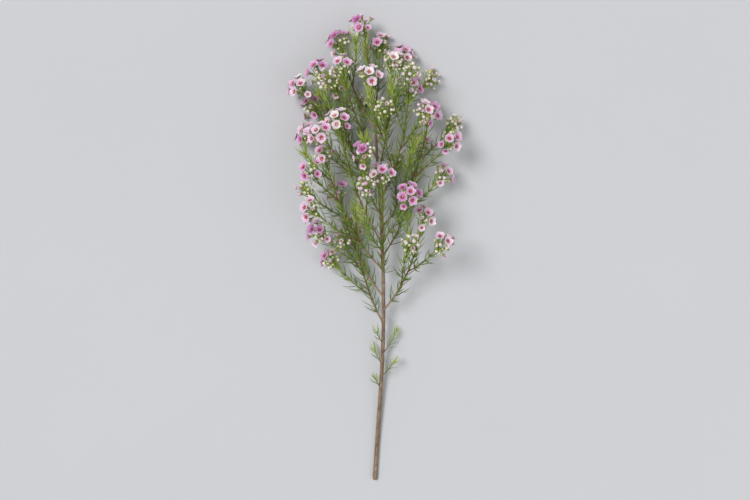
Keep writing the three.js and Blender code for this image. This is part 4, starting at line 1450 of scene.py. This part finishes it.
for number, members in enumerate(heads, 1):
    look_roll = dice(SEED * 43 + number)
    cluster_age = draw(look_roll, CLUSTER_AGES)
    head = Grown()
    for index, flower in enumerate(members):
        age = np.clip(cluster_age + draw(look_roll, AGE_PLAY), 0, 1)
        lay_flower(head, flower, age, LAP_TILT if index else 0, look_roll)
    head.piece(f"flowers_{number:02d}", flower_finishes, "petals", [f"blooms_{number:02d}"])
young = Grown()
look_roll = dice(SEED * 67)
for flower in later:
    lay_flower(young, flower, draw(look_roll, LATER_AGES), 0, look_roll)
young.piece("later_flowers", flower_finishes, "petals")

# ---- Opening flowers ----
# The largest buds have begun to open. Their pale petals still stand up in a cup, each turned under the next
# one, round a dish that has hardly coloured.

OPENING_SIZE = 1.62  # of the flower that opens, as a share of the bud's
OPENING_DROP = 0.35  # how far it starts below the bud's middle, as a share of its radius
OPENING_TILTS = (0.95, 1.2)
OPENING_TWIST = 0.42
OPENING_AGES = (0.0, 0.35)

opening = Grown()
look_roll = dice(SEED * 59)
for member in [member for spray in sprays for member in spray.members(False)]:
    if member.radius <= OPENING_RADIUS:
        continue
    size = OPENING_SIZE * member.radius / BLOOM_RADIUS
    side = around(member.axis, look_roll() * TURN)
    base = np.array([side, np.cross(member.axis, side), member.axis]) * size
    foot = member.place - member.axis * (OPENING_DROP * member.radius)
    age = draw(look_roll, OPENING_AGES)
    tilts = [draw(look_roll, OPENING_TILTS)] * PETALS
    lay_petals(opening, foot, base, tilts, OPENING_TWIST, age, look_roll)
    opening.lay(dish, foot + dish.points @ base, 1, age=age)
opening.piece("opening_flowers", flower_finishes[:2], "petals")

# ---- The surface, light and camera ----
# The stem lies on a plain pale surface that curves up far away, all round it, under wide soft light. The
# camera looks down on it, with the tips upwards in its view.

SURFACE_DROP = 0.0001  # in metres, as all of this section, below what rests on it
SURFACE_SIDES = 96
SURFACE_OUTLINE = ((3.5, 0.0), (4.5, 0.0), (5.3, 0.15), (6.0, 0.55), (6.5, 1.2), (6.8, 2.1), (6.9, 3.2))
SURFACE_OPENING = 3.1  # it is open above this height
KEY_LIGHT = ((-0.8, 0.7, 1.5), 25, 2.0)  # where it comes from, its spread in degrees, and its strength
FILL_LIGHT = ((1.3, -0.6, 1.2), 60, 0.45)
ROOM_LIGHT = 0.42
CAMERA_RISE = 100  # degrees from level at the cut end's side, past upright towards the tips
CAMERA_REACH = 1.53
CAMERA_SHIFT = 0.014  # towards the tips
CAMERA_LENS = 60


def surface_finish():
    finish = Finish("plain_surface", Roughness=0.9)
    grain = finish.noise(finish.node("ShaderNodeTexCoord", {}, {}, "Object"), 3.0)
    finish.feed(Base_Color=finish.blend(grain, paint("cbccd0"), paint("cfd0d3")))
    return finish.material


surface = drawn_up(SURFACE_SIDES, SURFACE_OUTLINE)
bpy.ops.object.mode_set(mode="EDIT")
bpy.ops.mesh.select_all(action="DESELECT")
bpy.ops.object.mode_set(mode="OBJECT")
for face in surface.data.polygons:
    face.select = face.center.z > SURFACE_OPENING
bpy.ops.object.mode_set(mode="EDIT")
bpy.ops.mesh.delete(type="FACE")
bpy.ops.mesh.select_all(action="SELECT")
bpy.ops.mesh.flip_normals()
bpy.ops.transform.translate(value=(0, 0, -SURFACE_DROP))
bpy.ops.object.mode_set(mode="OBJECT")
surface.data.shade_smooth()
surface.name = "surface"
surface.data.materials.append(surface_finish())

low, high = solids_box
middle = (np.array(low) + np.array(high)) / 2


def soft_light(name, offset, spread, strength):
    """A wide, distant soft light, aimed down at the stem."""
    lamp = bpy.data.lights.new(name, "SUN")
    lamp.angle = math.radians(spread)
    lamp.energy = strength
    light = bpy.data.objects.new(name, lamp)
    bpy.context.scene.collection.objects.link(light)
    light.location = middle + np.array(offset)
    light.rotation_euler = Vector(-np.array(offset)).to_track_quat("-Z", "Y").to_euler()


soft_light("key", *KEY_LIGHT)
soft_light("fill", *FILL_LIGHT)
world = bpy.data.worlds.new("studio")
world.use_nodes = True
background = world.node_tree.nodes["Background"]
background.inputs["Color"].default_value = (1, 1, 1, 1)
background.inputs["Strength"].default_value = ROOM_LIGHT
bpy.context.scene.world = world
bpy.context.scene.view_settings.view_transform = "Standard"

eye = bpy.data.cameras.new("camera")
eye.lens = CAMERA_LENS
camera = bpy.data.objects.new("camera", eye)
bpy.context.scene.collection.objects.link(camera)
rise = math.radians(CAMERA_RISE)
towards_camera = np.array([0, -math.cos(rise), math.sin(rise)])
camera.location = middle + CAMERA_REACH * towards_camera + (0, CAMERA_SHIFT, 0)
camera.rotation_euler = (math.pi / 2 - rise, 0, 0)
bpy.context.scene.camera = camera

bpy.context.view_layer.update()
